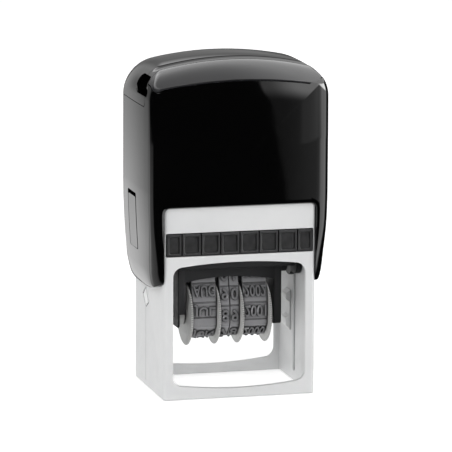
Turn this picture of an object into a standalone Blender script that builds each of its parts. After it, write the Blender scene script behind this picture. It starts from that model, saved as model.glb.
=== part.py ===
"""Self-inking rotary date stamp, built as separate pieces.

The stamp stands on its open frame, +Z up, front towards -Y, origin in the middle of its footprint.
All sizes below are millimetres; the mesh functions turn them into metres.

A glossy cap slides down over the frame. Inside, a yoke fixed to the cap carries a turning carriage
with the text plate, four date bands and their setting wheels. The print faces look up at the ink
pad at rest, and look down at the paper when the cap is pressed.
"""

import bmesh
import bpy
from math import atan2, cos, floor, hypot, pi, radians, sin, sqrt
from mathutils import Matrix, Vector

MM = 0.001
GAP = 0.3                    # clearance between neighbouring pieces

# base frame
FRAME_HALF = 28.0            # half width
FRAME_DEPTH = 21.5           # half depth
FRAME_WALL = 1.6
FRAME_TOP = 71.0
WINDOW_HALF = 24.4
WINDOW_CORNER = 3.6

# ink pad drawer
PAD_LOW = 52.35
PAD_HIGH = 60.3
PAD_FRONT_HALF = 27.0        # half width of the front strip
PAD_HALF = 23.8              # half width of the tray
PAD_CELL = 7.1               # pitch of the finger grip cells
DECK_LOW = 60.9
DECK_HIGH = 62.4

# cap
CAP_HALF = 33.2
CAP_DEPTH = 24.0
CAP_LOW = 42.2               # lower edge of the cap at its corners ...
CAP_BOW = 3.2                # ... and how much lower its sides reach in their middle
CAP_TOP = 122.0
CAP_WALL = 2.1
CAP_CORNER = 11.8            # radius of the two upper corners, seen from the front
CAP_CROWN = 119.0            # radius of the wide arch over the top
CAP_EDGE = 4.5               # radius of the upright edges
NOTCH_HALF = 28.2
NOTCH_TOP = 69.7
BAND_FRONT = -24.0           # the index window slopes from here ...
BAND_REAR = -13.0            # ... to here
BAND_FALL = 5.85             # height of that slope
BAND_RIGHT = 36.5            # angle of the window's right end on the roof
BAND_LEFT = 27.0             # and of its left end, which reaches further round the corner
COVER_FRONT = -7.0           # front edge of the rear cover, on top
COVER_SEAM = 105.2
BAND_RIGHT_TURN = 25.0       # how far the front corner of the right end is cut back
BAND_LEFT_TIP = 24.0         # how much further the left end's front tip reaches
ARCH_FLATTENING = 45.0       # growth of the arch's radius down the window's slope
ARCH_BLEND = 0.9             # height over which the arch runs into the roof's corners
SLOPE_STEEPNESS = 0.13       # extra height of a wall set in under the slope
SCOOP_RADIUS = 3.4           # rear round end of the finger scoops

# lock tabs in the side walls of the cap
TAB_FRONT = -0.7
TAB_REAR = 11.9
TAB_FOOT = 51.4
TAB_SLOT_TOP = 72.0
TAB_TIP = 70.5
TAB_HINGE_X = 31.2

# drive yoke and return springs
YOKE_OUT = 26.1
YOKE_IN = 24.2
YOKE_FRONT = -4.8
YOKE_REAR = 4.2
YOKE_LOW = 39.5
YOKE_SHOE = (-10.8, 41.4, 50.2)   # front, foot and top of the wide guide shoe on each arm
YOKE_BRIDGE = 106.0
SPRING_X = 12.0
SPRING_RADIUS = 5.2
SPRING_WIRE = 0.5
SPRING_TURNS = 8
SPRING_TOP = 112.4
CUP_TOP = 114.2

# turning carriage
PIVOT_Z = 44.5
PIN_RADIUS = 1.4
PRINT_Z = 51.6               # height of the print faces at rest
PLATE_HALF = 22.9
PLATE_DEPTH = 15.8
PLATE_LOW = 46.0
PLATE_HIGH = 48.4
TEXT_HALF = 22.5
TEXT_DEPTH = 15.0
ARM_IN = 16.4
ARM_OUT = 19.3
ARM_FOOT = 23.2
ARM_DEPTH = 8.0
BUSH_RADIUS = 3.7
BUSH_OUT = 18.3

# date bands and setting wheels
AXLE_Z = 27.0
WHEEL_RADIUS = 11.5
WHEEL_THICK = 1.0
WHEEL_X = (-14.7, -4.3, 4.3, 14.7)
WHEEL_TEETH = 48
HUB_RADIUS = 6.8
BAND_SPANS = ((-13.9, -5.1), (-3.5, -0.15), (0.15, 3.5), (5.1, 13.9))
BAND_SHOULDERS = (32.2, 30.7, 30.7, 31.5)   # where each band leans towards the nose
BAND_INNER = 7.1
BAND_THICK = 0.9
TYPE_HEIGHT = 0.9
TYPE_LENGTH = 4.0
NOSE_HALF = 2.4

BLACK = (0.012, 0.012, 0.013)
WHITE = (0.72, 0.73, 0.73)
PALE = (0.52, 0.52, 0.51)
RUBBER = (0.09, 0.09, 0.095)


# ---------------------------------------------------------------- outlines

def arc(centre_a, centre_b, radius, start, end, steps):
    """Points of an arc, from one angle to another, in degrees."""
    points = []
    for i in range(steps + 1):
        angle = radians(start + (end - start) * i / steps)
        points.append((centre_a + radius * cos(angle), centre_b + radius * sin(angle)))
    return points


def circle(centre_a, centre_b, radius, steps=24):
    return arc(centre_a, centre_b, radius, 0, 360, steps)[:-1]


def rounded_box(a0, a1, b0, b1, radius, steps=4):
    """Counter-clockwise rectangle with round corners."""
    corners = ((a1 - radius, b0 + radius, -90), (a1 - radius, b1 - radius, 0),
               (a0 + radius, b1 - radius, 90), (a0 + radius, b0 + radius, 180))
    points = []
    for a, b, start in corners:
        points += arc(a, b, radius, start, start + 90, steps)
    return points


def mirrored(points):
    """A closed outline from its right half, listed from bottom to top."""
    return points + [(-a, b) for a, b in reversed(points)]


def window_outline():
    """The frame's window: round corners, a sagging lower edge and an arched upper edge."""
    corner = WINDOW_CORNER
    inner = WINDOW_HALF - corner
    low_side, low_middle, high_side, high_middle = 4.9, 3.5, 48.2, 49.4
    half = []
    for i in range(1, 6):
        x = inner * i / 5
        half.append((x, low_middle + (low_side - low_middle) * (x / inner) ** 2))
    half += arc(inner, low_side + corner, corner, -90, 0, 5)[1:]
    half += arc(inner, high_side - corner, corner, 0, 90, 5)
    for i in range(4, 0, -1):
        x = inner * i / 5
        half.append((x, high_middle - (high_middle - high_side) * (x / inner) ** 2))
    return mirrored(half)


# ---------------------------------------------------------------- solids

def place(axis, a, b, along):
    """A point from two outline coordinates and its place along the sweep axis."""
    if axis == "X":
        return (along, a, b)
    if axis == "Y":
        return (a, along, b)
    return (a, b, along)


def solid(loops):
    """A closed solid through equal loops of points, flat at both ends."""
    bm = bmesh.new()
    rings = []
    for loop in loops:
        rings.append([bm.verts.new(Vector(point) * MM) for point in loop])
    count = len(rings[0])
    for near, far in zip(rings, rings[1:]):
        for i in range(count):
            j = (i + 1) % count
            bm.faces.new((near[i], near[j], far[j], far[i]))
    bm.faces.new(rings[0])
    bm.faces.new(list(reversed(rings[-1])))
    bmesh.ops.triangulate(bm, faces=[face for face in bm.faces if len(face.verts) == 4])
    bmesh.ops.recalc_face_normals(bm, faces=bm.faces)
    mesh = bpy.data.meshes.new("solid")
    bm.to_mesh(mesh)
    bm.free()
    obj = bpy.data.objects.new("solid", mesh)
    bpy.context.scene.collection.objects.link(obj)
    return obj


def prism(outline, axis, low, high):
    """An outline swept straight along an axis. Outlines are (y, z), (x, z) or (x, y)."""
    return solid([[place(axis, a, b, along) for a, b in outline] for along in (low, high)])


def box(x0, x1, y0, y1, z0, z1):
    return prism([(x0, y0), (x1, y0), (x1, y1), (x0, y1)], "Z", z0, z1)


def rod(axis, a, b, radius, low, high, steps=24):
    return prism(circle(a, b, radius, steps), axis, low, high)


def combine(target, tools, operation):
    """Cuts the tools from the target, joins them to it, or keeps what they share."""
    for tool in tools:
        modifier = target.modifiers.new("combine", "BOOLEAN")
        modifier.operation = operation
        modifier.solver = "EXACT"
        modifier.object = tool
        depsgraph = bpy.context.evaluated_depsgraph_get()
        mesh = bpy.data.meshes.new_from_object(target.evaluated_get(depsgraph))
        target.modifiers.clear()
        target.data = mesh
        bpy.data.objects.remove(tool)
    return target


def cut(target, *tools):
    return combine(target, tools, "DIFFERENCE")


def join(target, *tools):
    return combine(target, tools, "UNION")


def keep(target, *tools):
    return combine(target, tools, "INTERSECT")


# ---------------------------------------------------------------- nodes

def material(name, color, roughness, metallic=0.0):
    made = bpy.data.materials.new(name)
    made.use_nodes = True
    shader = made.node_tree.nodes["Principled BSDF"]
    shader.inputs["Base Color"].default_value = (*color, 1.0)
    shader.inputs["Roughness"].default_value = roughness
    shader.inputs["Metallic"].default_value = metallic
    return made


def assembly(name, origin, parent=None):
    """An empty that carries the pieces of one moving body, placed on its joint."""
    empty = bpy.data.objects.new(name, None)
    empty.empty_display_size = 10 * MM
    bpy.context.scene.collection.objects.link(empty)
    empty["origin_mm"] = origin
    empty.parent = parent
    start = Vector(parent["origin_mm"]) if parent else Vector((0, 0, 0))
    empty.location = (Vector(origin) - start) * MM
    return empty


def piece(obj, name, parent, color, roughness, metallic=0.0, smooth=32):
    """Names a solid, gives it its material and puts it under its assembly."""
    obj.name = name
    obj.data.name = name
    obj.data.materials.clear()
    obj.data.materials.append(material(name, color, roughness, metallic))
    obj.data.transform(Matrix.Translation(-Vector(parent["origin_mm"]) * MM))
    obj.parent = parent
    obj.data.shade_smooth()
    obj.data.set_sharp_from_angle(angle=radians(smooth))
    return obj


# ---------------------------------------------------------------- cap surface

def slope_share(y):
    """How far down the sloping front of the roof a place lies, from 0 to 1."""
    return min(1.0, max(0.0, (BAND_REAR - y) / (BAND_REAR - BAND_FRONT)))


def roof_drop(y):
    """How far the top of the cap lies below its crown, from front to rear."""
    if y <= BAND_REAR:
        return 0.75 + BAND_FALL * slope_share(y) ** 1.3
    if y <= -12:
        return 0.7
    if y <= COVER_FRONT:
        share = (y + 12) / (COVER_FRONT + 12)
        return 0.7 - 0.35 * share + 0.9 * sin(pi * share)
    if y <= 0:
        return 0.35 * (y / COVER_FRONT) ** 2
    return 12.0 * (1 - (1 - min(1.0, y / CAP_DEPTH) ** 3.2) ** (1 / 3.2))


def side_tuck(z):
    """How far the cap's side walls curve inwards towards their lower ends."""
    share = min(1.0, max(0.0, (74 - z) / (74 - CAP_LOW)))
    lip = min(1.0, max(0.0, (48 - z) / (48 - CAP_LOW)))
    return 1.7 * share ** 1.6 + 1.2 * (1 - sqrt(1 - lip * lip))


def edge_radius(y, z):
    """Radius of the upright edges; those in front open out towards their lower ends."""
    share = min(1.0, max(0.0, (64 - z) / 20))
    growth = 3.5 if y < 0 else 0.5
    return CAP_EDGE + growth * share * share * (3 - 2 * share)


def edge_drop(y, radius, inset):
    """How far the side lies inwards at a place on the rounded upright edge."""
    rounding = max(0.5, radius - inset)
    reach = abs(y) - (CAP_DEPTH - inset - rounding)
    if reach <= 0:
        return 0.0
    return rounding - sqrt(max(0.0, rounding ** 2 - reach ** 2))


def roof_arch(x, y, inset):
    """Height of the flatter arch that cuts the corners off the front of the roof."""
    share = slope_share(y)
    radius = CAP_CROWN + ARCH_FLATTENING * share
    steepness = 1 + SLOPE_STEEPNESS * min(1.0, 3 * share)
    return CAP_TOP - inset * steepness - roof_drop(y) - x * x / (2 * radius)


def lower_of(first, second, blend):
    """The lower of two heights, with the crossing rounded off over a blend height."""
    if blend <= 0:
        return min(first, second)
    near = max(0.0, 1 - abs(first - second) / blend)
    return min(first, second) - near * near * blend / 4


def roof_point(angle, y, roof_y, inset):
    """The point of the roof whose face looks along an angle, 0 at the right and 180 at the left."""
    drop = edge_drop(y, CAP_EDGE, inset)
    centre_x = CAP_HALF - CAP_CORNER
    span = CAP_CROWN - CAP_CORNER
    centre_z = CAP_TOP - CAP_CROWN
    corner_z = centre_z + sqrt(span ** 2 - centre_x ** 2)
    turn = atan2(corner_z - centre_z, centre_x)
    a = radians(angle)
    if turn < a < pi - turn:
        radius = CAP_CROWN - inset - drop
        x = radius * cos(a)
        z = centre_z + drop + radius * sin(a)
    else:
        side = 1 if a <= pi / 2 else -1
        radius = CAP_CORNER - inset - drop
        x = side * centre_x + radius * cos(a)
        z = corner_z + drop + radius * sin(a)
    if roof_y > 0:
        return (x, z - roof_drop(roof_y))
    return (x, lower_of(z, roof_arch(x, roof_y, inset), ARCH_BLEND * min(1.0, 5 * slope_share(roof_y))))


def roof_angles(first, last, fine):
    """Angles along the roof, closer together over the wide arch."""
    corner = 78.4
    steps_corner, steps_top = (8, 10) if fine else (5, 6)
    angles = [corner * i / steps_corner for i in range(steps_corner + 1)]
    angles += [corner + (180 - 2 * corner) * i / steps_top for i in range(1, steps_top)]
    angles += [180 - corner * i / steps_corner for i in range(steps_corner, -1, -1)]
    inside = [angle for angle in angles if first + 1 < angle < last - 1]
    return [first] + inside + [last]


STATIONS = (-24, -23.7, -22.9, -21.6, -19.6, -16.5, -13, -12, -10.8, -9.5, -8.2, -7,
            -3.5, 0, 6, 12, 16.5, 19.6, 21.6, 22.9, 23.7, 24)
SIDE_LEVELS = (CAP_LOW, 42.7, 43.8, 45.4, 48, 54, 61.5, 74)


def side_bow(y, z):
    """How far a point near the lower edge of a side wall is drawn down, or up at the rear."""
    near = min(1.0, max(0.0, (54 - z) / (54 - CAP_LOW)))
    share = min(1.0, abs(y) / 21)
    if y < 0:
        return CAP_BOW * (1 - share ** 3) * near
    rise = 5.0 * (max(0.0, y - 15) / (CAP_DEPTH - 15)) ** 2
    return (CAP_BOW * (1 - share ** 6) - rise) * near


def cap_solid(inset, fine=True):
    """The cap's outer form, or the same form set in by a wall thickness and open below."""
    bottom = CAP_LOW if inset == 0 else CAP_LOW - 2
    loops = []
    for station in STATIONS:
        y = station * (CAP_DEPTH - inset) / CAP_DEPTH
        side = []
        for z in SIDE_LEVELS:
            x = CAP_HALF - inset - side_tuck(z) - edge_drop(y, edge_radius(y, z), inset)
            if inset > 0:
                x = max(x, FRAME_HALF + 0.4)
            level = z if z > CAP_LOW else bottom
            side.append((x, level - side_bow(y, z)))
        roof = [roof_point(angle, y, station, inset) for angle in roof_angles(0, 180, fine)]
        outline = side + roof + [(-x, z) for x, z in reversed(side)]
        loops.append([(x, y, z) for x, z in outline])
    return solid(loops)


def round_corner(share):
    """How far a quarter circle has turned away, 0 where it starts and 1 at its end."""
    share = min(1.0, max(0.0, share))
    return 1 - sqrt(1 - share * share)


def window_ends(y, grow):
    """Angles on the roof between which the index window lies, grown by a clearance."""
    share = slope_share(y)
    rear_turn = round_corner(1 - share / 0.27)
    front_turn = round_corner((share - 0.4) / 0.6)
    right = BAND_RIGHT + 10 * rear_turn + BAND_RIGHT_TURN * front_turn
    left = BAND_LEFT + 15 * rear_turn - BAND_LEFT_TIP * share ** 4
    return right - grow, 180 - left + grow


def recess_ends(y):
    """Angles between which the roof is hollowed out for the window, with squarer corners."""
    y = min(y, BAND_REAR - 0.9)
    right = window_ends(max(y, BAND_FRONT + 2.0), 4.5)[0]
    left = window_ends(y, 2.2)[1]
    return right, left


def roof_patch(ends, y0, y1, outer, inner, steps=12):
    """A sheet that follows the roof between two insets and two places from front to rear."""
    loops = []
    count = 22
    for i in range(steps + 1):
        y = y0 + (y1 - y0) * i / steps
        first, last = ends(y)
        angles = [first + (last - first) * k / count for k in range(count + 1)]
        upper = [roof_point(angle, y, y, outer) for angle in angles]
        lower = [roof_point(angle, y, y, inner) for angle in reversed(angles)]
        loops.append([(x, y, z) for x, z in upper + lower])
    return solid(loops)


def cover_region(clear):
    """Side view of the rear cover's space, grown by a clearance, as a solid across the cap."""
    low = COVER_SEAM - clear
    front = -13.6 - clear
    top_front = COVER_FRONT - clear
    outline = [(30, low), (30, 130), (top_front, 130), (top_front, 113)]
    outline += [(front, 109.5)]
    outline += arc(front + 2.5, low + 2.5, 2.5, 180, 270, 4)
    return prism(outline, "X", -40, 40)


def scoops():
    """Cutters for the two finger scoops, which go right through the sides of the roof."""
    outline = arc(0.2 - SCOOP_RADIUS, 112.3, SCOOP_RADIUS, -90, 90, 10)
    outline += [(-10.8, 115.7), (-11.8, 115.1), (-12.4, 113.2), (-14.8, 111.0)]
    outline += [(-15.1, 109.7), (-14.3, 108.9)]
    return [prism(outline, "X", 24.5, 36), prism(outline, "X", -36, -24.5)]


# ---------------------------------------------------------------- base frame

def cam_block(side):
    """The raised flip cam on an inner wall: two bulges with a hollow between them."""
    wall = FRAME_HALF - FRAME_WALL
    profile = [(wall + 0.4, 18), (wall - 0.6, 18.3), (wall - 1.7, 19.6), (wall - 1.8, 22.4),
               (wall - 0.7, 23.8), (wall - 0.5, 26), (wall - 0.7, 28.4), (wall - 1.8, 29.6),
               (wall - 1.7, 31.6), (wall - 0.6, 32.6), (wall + 0.4, 32.9)]
    return prism([(side * x, z) for x, z in profile], "Y", 4.7, 10.6)


def gate_groove(side):
    """The fine cam line on the outside of a side wall, which parts round a diamond."""
    width = 0.25
    corners = ((5.0, 36.6), (9.2, 33.4), (5.0, 29.2), (0.8, 31.6))
    outer = []
    inner = []
    for y, z in corners:
        out = Vector((y - 5.0, z - 32.7))
        outer.append((5.0 + out.x * 1.14, 32.7 + out.y * 1.14))
        inner.append((5.0 + out.x * 0.86, 32.7 + out.y * 0.86))
    depth = (FRAME_HALF - 0.5, FRAME_HALF + 0.5)
    low, high = depth if side > 0 else (-depth[1], -depth[0])
    ring = cut(prism(outer, "X", low, high), prism(inner, "X", low - 1, high + 1))
    upper = prism([(5 - width, 36.3), (5 + width, 36.3), (5 + width, 40.8), (5 - width, 40.8)],
                  "X", low, high)
    lower = prism([(5 - width, 2.2), (5 + width, 2.2), (5 + width, 29.5), (5 - width, 29.5)],
                  "X", low, high)
    return [ring, upper, lower]


def pivot_groove(side):
    """The upright groove in an inner wall that guides a pivot pin's end."""
    wall = FRAME_HALF - FRAME_WALL
    outline = arc(0, 5.3, 1.7, 180, 360, 8) + [(1.7, 80), (-1.7, 80)]
    depth = (wall - 0.5, wall + 0.75)
    low, high = depth if side > 0 else (-depth[1], -depth[0])
    return prism(outline, "X", low, high)


def make_base_frame(parent):
    wall = FRAME_HALF - FRAME_WALL
    depth = FRAME_DEPTH - FRAME_WALL
    body = prism(rounded_box(-FRAME_HALF, FRAME_HALF, -FRAME_DEPTH, FRAME_DEPTH, 1.2, 3),
                 "Z", 0, FRAME_TOP)
    cut(body, box(-wall, wall, -depth, depth, -1, FRAME_TOP + 1))

    # deck over the ink pad, with openings for the yoke arms and pegs that centre the springs
    deck = box(-wall - 0.5, wall + 0.5, -depth - 0.5, depth + 0.5, DECK_LOW, DECK_HIGH)
    for side in (-1, 1):
        low, high = sorted((side * (YOKE_IN - GAP), side * (wall + 1)))
        cut(deck, box(low, high, YOKE_FRONT - GAP, YOKE_REAR + GAP, 50, 70))
        join(deck, rod("Z", side * SPRING_X, 0, 3.9, DECK_HIGH - 0.5, DECK_HIGH + 5.5, 16))
    join(body, deck)

    # ledges that carry the ink pad drawer, in front of and behind the yoke arms
    for side in (-1, 1):
        low, high = sorted((side * (PLATE_HALF + 0.25), side * (wall + 0.5)))
        for y0, y1 in ((-depth - 0.5, YOKE_FRONT - 0.6), (YOKE_REAR + 0.6, depth + 0.5)):
            join(body, box(low, high, y0, y1, PAD_LOW - 1.5, PAD_LOW - GAP))
        join(body, cam_block(side))

    cut(body, prism(window_outline(), "Y", -30, 30))
    cut(body, box(-PAD_FRONT_HALF - 0.2, PAD_FRONT_HALF + 0.2, -30, -depth + 0.1,
                  PAD_LOW - 0.25, PAD_HIGH + 0.25))
    cut(body, box(-PAD_HALF - GAP, PAD_HALF + GAP, depth - 0.1, 30,
                  PAD_LOW - 0.25, PAD_HIGH + 0.25))
    for side in (-1, 1):
        cut(body, pivot_groove(side), *gate_groove(side))
    piece(body, "base_frame", parent, WHITE, 0.35)


# ---------------------------------------------------------------- ink pad drawer

def grip_cutters(y_face, outward, half):
    """Shallow finger cells and the grooves between them, on one end of the drawer."""
    tools = []
    cells = floor(half / PAD_CELL + 0.5)
    for index in range(-cells, cells):
        x0 = max(-half, index * PAD_CELL)
        x1 = min(half, (index + 1) * PAD_CELL)
        y0, y1 = sorted((y_face - outward * 0.35, y_face + outward))
        outline = rounded_box(x0 + 0.9, x1 - 0.8, PAD_LOW + 0.8, PAD_HIGH - 0.8, 0.8, 2)
        tools.append(prism(outline, "Y", y0, y1))
        if index > -cells:
            y0, y1 = sorted((y_face - outward * 0.6, y_face + outward))
            tools.append(box(x0 - 0.2, x0 + 0.2, y0, y1, PAD_LOW - 1, PAD_HIGH + 1))
    return tools


def make_ink_pad(parent):
    inner = FRAME_DEPTH - FRAME_WALL
    tray = box(-PAD_HALF, PAD_HALF, -inner - 0.6, FRAME_DEPTH, PAD_LOW, PAD_HIGH)
    join(tray, box(-PAD_FRONT_HALF, PAD_FRONT_HALF, -FRAME_DEPTH, -inner - 0.2,
                   PAD_LOW, PAD_HIGH))
    cut(tray, box(-PAD_HALF + 1.3, PAD_HALF - 1.3, -inner + 1.0, inner - 0.4,
                  PAD_LOW - 1, PAD_HIGH - 1.4))
    cut(tray, *grip_cutters(-FRAME_DEPTH, -1, PAD_FRONT_HALF))
    cut(tray, *grip_cutters(FRAME_DEPTH, 1, 3 * PAD_CELL + 1.5))
    piece(tray, "ink_pad_tray", parent, BLACK, 0.5)

    foam = prism(rounded_box(-PAD_HALF + 1.6, PAD_HALF - 1.6, -inner + 1.3, inner - 0.7, 1.5, 3),
                 "Z", PAD_LOW + 0.05, PAD_HIGH - 1.7)
    piece(foam, "ink_pad_foam", parent, (0.02, 0.02, 0.05), 0.95)


# ---------------------------------------------------------------- cap pieces

def make_cap_shell(parent):
    shell = cap_solid(0)
    cavity = keep(cap_solid(CAP_WALL, fine=False), box(-40, 40, -40, 40, CAP_LOW - 9, 109.3))
    upper = keep(cap_solid(3.6, fine=False), box(-40, 40, -40, 40, 100, 130))
    cut(shell, join(cavity, upper))

    # recesses for the rear cover and for the index window with its card
    rind = cut(cap_solid(-1.5, fine=False), cap_solid(1.2))
    cut(shell, keep(rind, cover_region(0.2)))
    cut(shell, roof_patch(recess_ends, BAND_FRONT - 1, BAND_REAR + 0.1, -3, 2.3))

    for y0, y1 in ((-30, -CAP_DEPTH + 12), (CAP_DEPTH - 12, 30)):
        outline = rounded_box(-NOTCH_HALF, NOTCH_HALF, 30, NOTCH_TOP, 2.0, 4)
        cut(shell, prism(outline, "Y", y0, y1))
    for side in (-1, 1):
        low, high = sorted((side * 25, side * 40))
        slot = rounded_box(TAB_FRONT, TAB_REAR, TAB_FOOT, TAB_SLOT_TOP, 1.0, 3)
        cut(shell, prism(slot, "X", low, high))
        join(shell, rod("Z", side * 22.5, 0, 2.0, YOKE_BRIDGE + 2.5 + GAP, 116.5, 12))
    cut(shell, *scoops())
    piece(shell, "cap_shell", parent, BLACK, 0.12)


def make_rear_cover(parent):
    cover = cut(cap_solid(0), cap_solid(0.9))
    keep(cover, cover_region(0))
    cut(cover, *scoops())
    piece(cover, "rear_cover", parent, BLACK, 0.12)


def make_index_window(window_parent, card_parent):
    window = roof_patch(lambda y: window_ends(y, 0), BAND_FRONT + 0.25, BAND_REAR - 0.2, 0.0, 1.4)
    piece(window, "index_window", window_parent, (0.05, 0.05, 0.055), 0.08)
    card = roof_patch(lambda y: (62, 136), BAND_FRONT + 1.6, BAND_REAR - 0.9, 1.65, 1.95)
    piece(card, "index_card", card_parent, (0.08, 0.08, 0.085), 0.7)


def make_lock_tab(side, name, parent):
    """A springy tongue with a catch on its inner face, free above its foot."""
    front = TAB_FRONT + 0.45
    rear = TAB_REAR - 0.35
    out = CAP_HALF
    outline = rounded_box(front, rear, TAB_FOOT + 0.15, TAB_TIP, 0.9, 3)
    low, high = sorted((side * (out - 3.5), side * (out + 1)))
    tongue = prism(outline, "X", low, high)
    keep(tongue, cut(cap_solid(0), cap_solid(1.9)))
    low, high = sorted((side * (out - 3.1), side * (out - 1.5)))
    catch = [(front + 2.5, 66), (rear - 2.5, 66), (rear - 2.5, 68.8), (front + 2.5, 68.8)]
    join(tongue, prism(catch, "X", low, high))
    piece(tongue, name, parent, BLACK, 0.15)


# ---------------------------------------------------------------- yoke and springs

def make_yoke(parent):
    """Bridge under the cap's roof with two long arms and two spring cups."""
    middle = (YOKE_FRONT + YOKE_REAR) / 2
    radius = (YOKE_REAR - YOKE_FRONT) / 2
    arm = arc(middle, YOKE_LOW + radius, radius, 180, 360, 10)
    arm += [(YOKE_REAR, YOKE_BRIDGE + 1), (YOKE_FRONT, YOKE_BRIDGE + 1)]
    yoke = box(-YOKE_OUT, YOKE_OUT, YOKE_FRONT, YOKE_REAR, YOKE_BRIDGE, YOKE_BRIDGE + 2.5)
    for side in (-1, 1):
        low, high = sorted((side * YOKE_IN, side * YOKE_OUT))
        join(yoke, prism(arm, "X", low, high))
        front, foot, shoe_top = YOKE_SHOE
        join(yoke, prism(rounded_box(front, YOKE_REAR - 1, foot, shoe_top, 4.0), "X", low, high))
        join(yoke, rod("Z", side * SPRING_X, 0, 7.2, YOKE_BRIDGE - 3, CUP_TOP, 20))
    for side in (-1, 1):
        cut(yoke, rod("Z", side * SPRING_X, 0, 6.1, YOKE_BRIDGE - 6, CUP_TOP - 1.5, 20))
        cut(yoke, rod("X", 0, PIVOT_Z, PIN_RADIUS + GAP, side * 27.05 - 4, side * 27.05 + 4, 20))
    piece(yoke, "drive_yoke", parent, BLACK, 0.4)


def make_spring(side, name, parent):
    """Compression spring with its end turns closed up."""
    low = DECK_HIGH + GAP + SPRING_WIRE
    high = SPRING_TOP - SPRING_WIRE
    per_turn = 10
    count = SPRING_TURNS * per_turn
    loops = []
    for i in range(count + 1):
        turn = i / per_turn
        share = min(1.0, max(0.0, (turn - 0.9) / (SPRING_TURNS - 1.8)))
        closed = 2.2 * SPRING_WIRE * (min(turn, 0.9) + max(0.0, turn - SPRING_TURNS + 0.9))
        travel = high - low - 2.2 * SPRING_WIRE * 1.8
        z = low + closed + travel * share
        angle = 2 * pi * turn
        ring = []
        for k in range(5):
            around = 2 * pi * k / 5
            reach = SPRING_RADIUS + SPRING_WIRE * cos(around)
            ring.append((side * SPRING_X + reach * cos(angle), reach * sin(angle),
                         z + SPRING_WIRE * sin(around)))
        loops.append(ring)
    piece(solid(loops), name, parent, (0.55, 0.55, 0.56), 0.25, 1.0, 60)


# ---------------------------------------------------------------- carriage

def make_die_plate(parent):
    """Plate under the rubber, with a slot for the bands and two lugs for the pivot pins."""
    plate = prism(rounded_box(-PLATE_HALF, PLATE_HALF, -PLATE_DEPTH, PLATE_DEPTH, 1.2, 3),
                  "Z", PLATE_LOW, PLATE_HIGH)
    for side in (-1, 1):
        low, high = sorted((side * 20.4, side * PLATE_HALF))
        lug = arc(0, PIVOT_Z, 3.4, 180, 360, 8) + [(3.4, PLATE_LOW + 0.5), (-3.4, PLATE_LOW + 0.5)]
        join(plate, prism(lug, "X", low, high))
    for side in (-1, 1):
        cut(plate, rod("X", 0, PIVOT_Z, PIN_RADIUS + GAP, side * 22.5 - 1.6, side * 22.5 + 1.6, 20))
    cut(plate, box(-16.2, 16.2, -5.8, 5.8, 40, 60))
    piece(plate, "die_plate", parent, BLACK, 0.35)


def make_text_plate(parent):
    """Rubber plate with a raised rim and blank raised lines round the date window."""
    base = prism(rounded_box(-TEXT_HALF, TEXT_HALF, -TEXT_DEPTH, TEXT_DEPTH, 0.8, 2),
                 "Z", PLATE_HIGH + GAP, PRINT_Z - 0.9)
    rim = box(-TEXT_HALF + 0.5, TEXT_HALF - 0.5, -TEXT_DEPTH + 0.5, TEXT_DEPTH - 0.5,
              PRINT_Z - 1.2, PRINT_Z)
    cut(rim, box(-TEXT_HALF + 1.3, TEXT_HALF - 1.3, -TEXT_DEPTH + 1.3, TEXT_DEPTH - 1.3, 40, 60))
    join(base, rim)
    for y, half in ((-11.3, 15), (-7.8, 18), (7.8, 18), (11.3, 12)):
        join(base, box(-half, half, y - 1.0, y + 1.0, PRINT_Z - 1.2, PRINT_Z))
    cut(base, box(-15.2, 15.2, -5.1, 5.1, 40, 60))
    piece(base, "text_plate", parent, (0.12, 0.04, 0.035), 0.8)


def make_date_unit_frame(parent):
    """Two arms that hold the wheel axle, tied by an arched wall in front and behind."""
    top = PLATE_LOW - GAP
    corner = 1.5
    outline = [(-ARM_DEPTH + corner, ARM_FOOT), (ARM_DEPTH - corner, ARM_FOOT),
               (ARM_DEPTH, ARM_FOOT + corner), (ARM_DEPTH, top),
               (-ARM_DEPTH, top), (-ARM_DEPTH, ARM_FOOT + corner)]
    frame = prism(outline, "X", ARM_IN, ARM_OUT)
    opposite = prism(outline, "X", -ARM_OUT, -ARM_IN)
    arch = []
    for i in range(9):
        x = -ARM_IN - 0.5 + (2 * ARM_IN + 1) * i / 8
        arch.append((x, 41.6 - 1.6 * (x / ARM_IN) ** 2))
    arch += [(ARM_IN + 0.5, top), (-ARM_IN - 0.5, top)]
    for y0, y1 in ((-ARM_DEPTH, -ARM_DEPTH + 0.8), (ARM_DEPTH - 0.8, ARM_DEPTH)):
        join(frame, prism(arch, "Y", y0, y1))
    join(frame, opposite)

    # a pocket for each bush; the left one opens forwards, so that the axle snaps in
    for side in (-1, 1):
        low, high = sorted((side * (ARM_IN - 1), side * (BUSH_OUT + GAP)))
        cut(frame, rod("X", 0, AXLE_Z, BUSH_RADIUS + GAP, low, high, 20))
    cut(frame, box(-BUSH_OUT - GAP, -ARM_IN + 1, -ARM_DEPTH - 1, 0.5, ARM_FOOT - 1, 28.2))
    cut(frame, rod("X", 0, AXLE_Z, PIN_RADIUS + GAP, -30, 30, 20))
    piece(frame, "date_unit_frame", parent, BLACK, 0.4)


def make_band_nose(parent):
    """Block over which the bands turn, so that one row of each lies at print height."""
    top = PRINT_Z - TYPE_HEIGHT - BAND_THICK - GAP
    outline = [(-4.3, 39.2), (4.3, 39.2), (NOSE_HALF + 0.1, top - 1.2), (NOSE_HALF - 0.5, top),
               (-NOSE_HALF + 0.5, top), (-NOSE_HALF - 0.1, top - 1.2)]
    nose = join(prism(outline, "X", -14.8, 14.8), box(-16.0, 16.0, -3, 3, 40, 44.5))
    piece(nose, "band_nose", parent, (0.2, 0.2, 0.2), 0.4)


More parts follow.
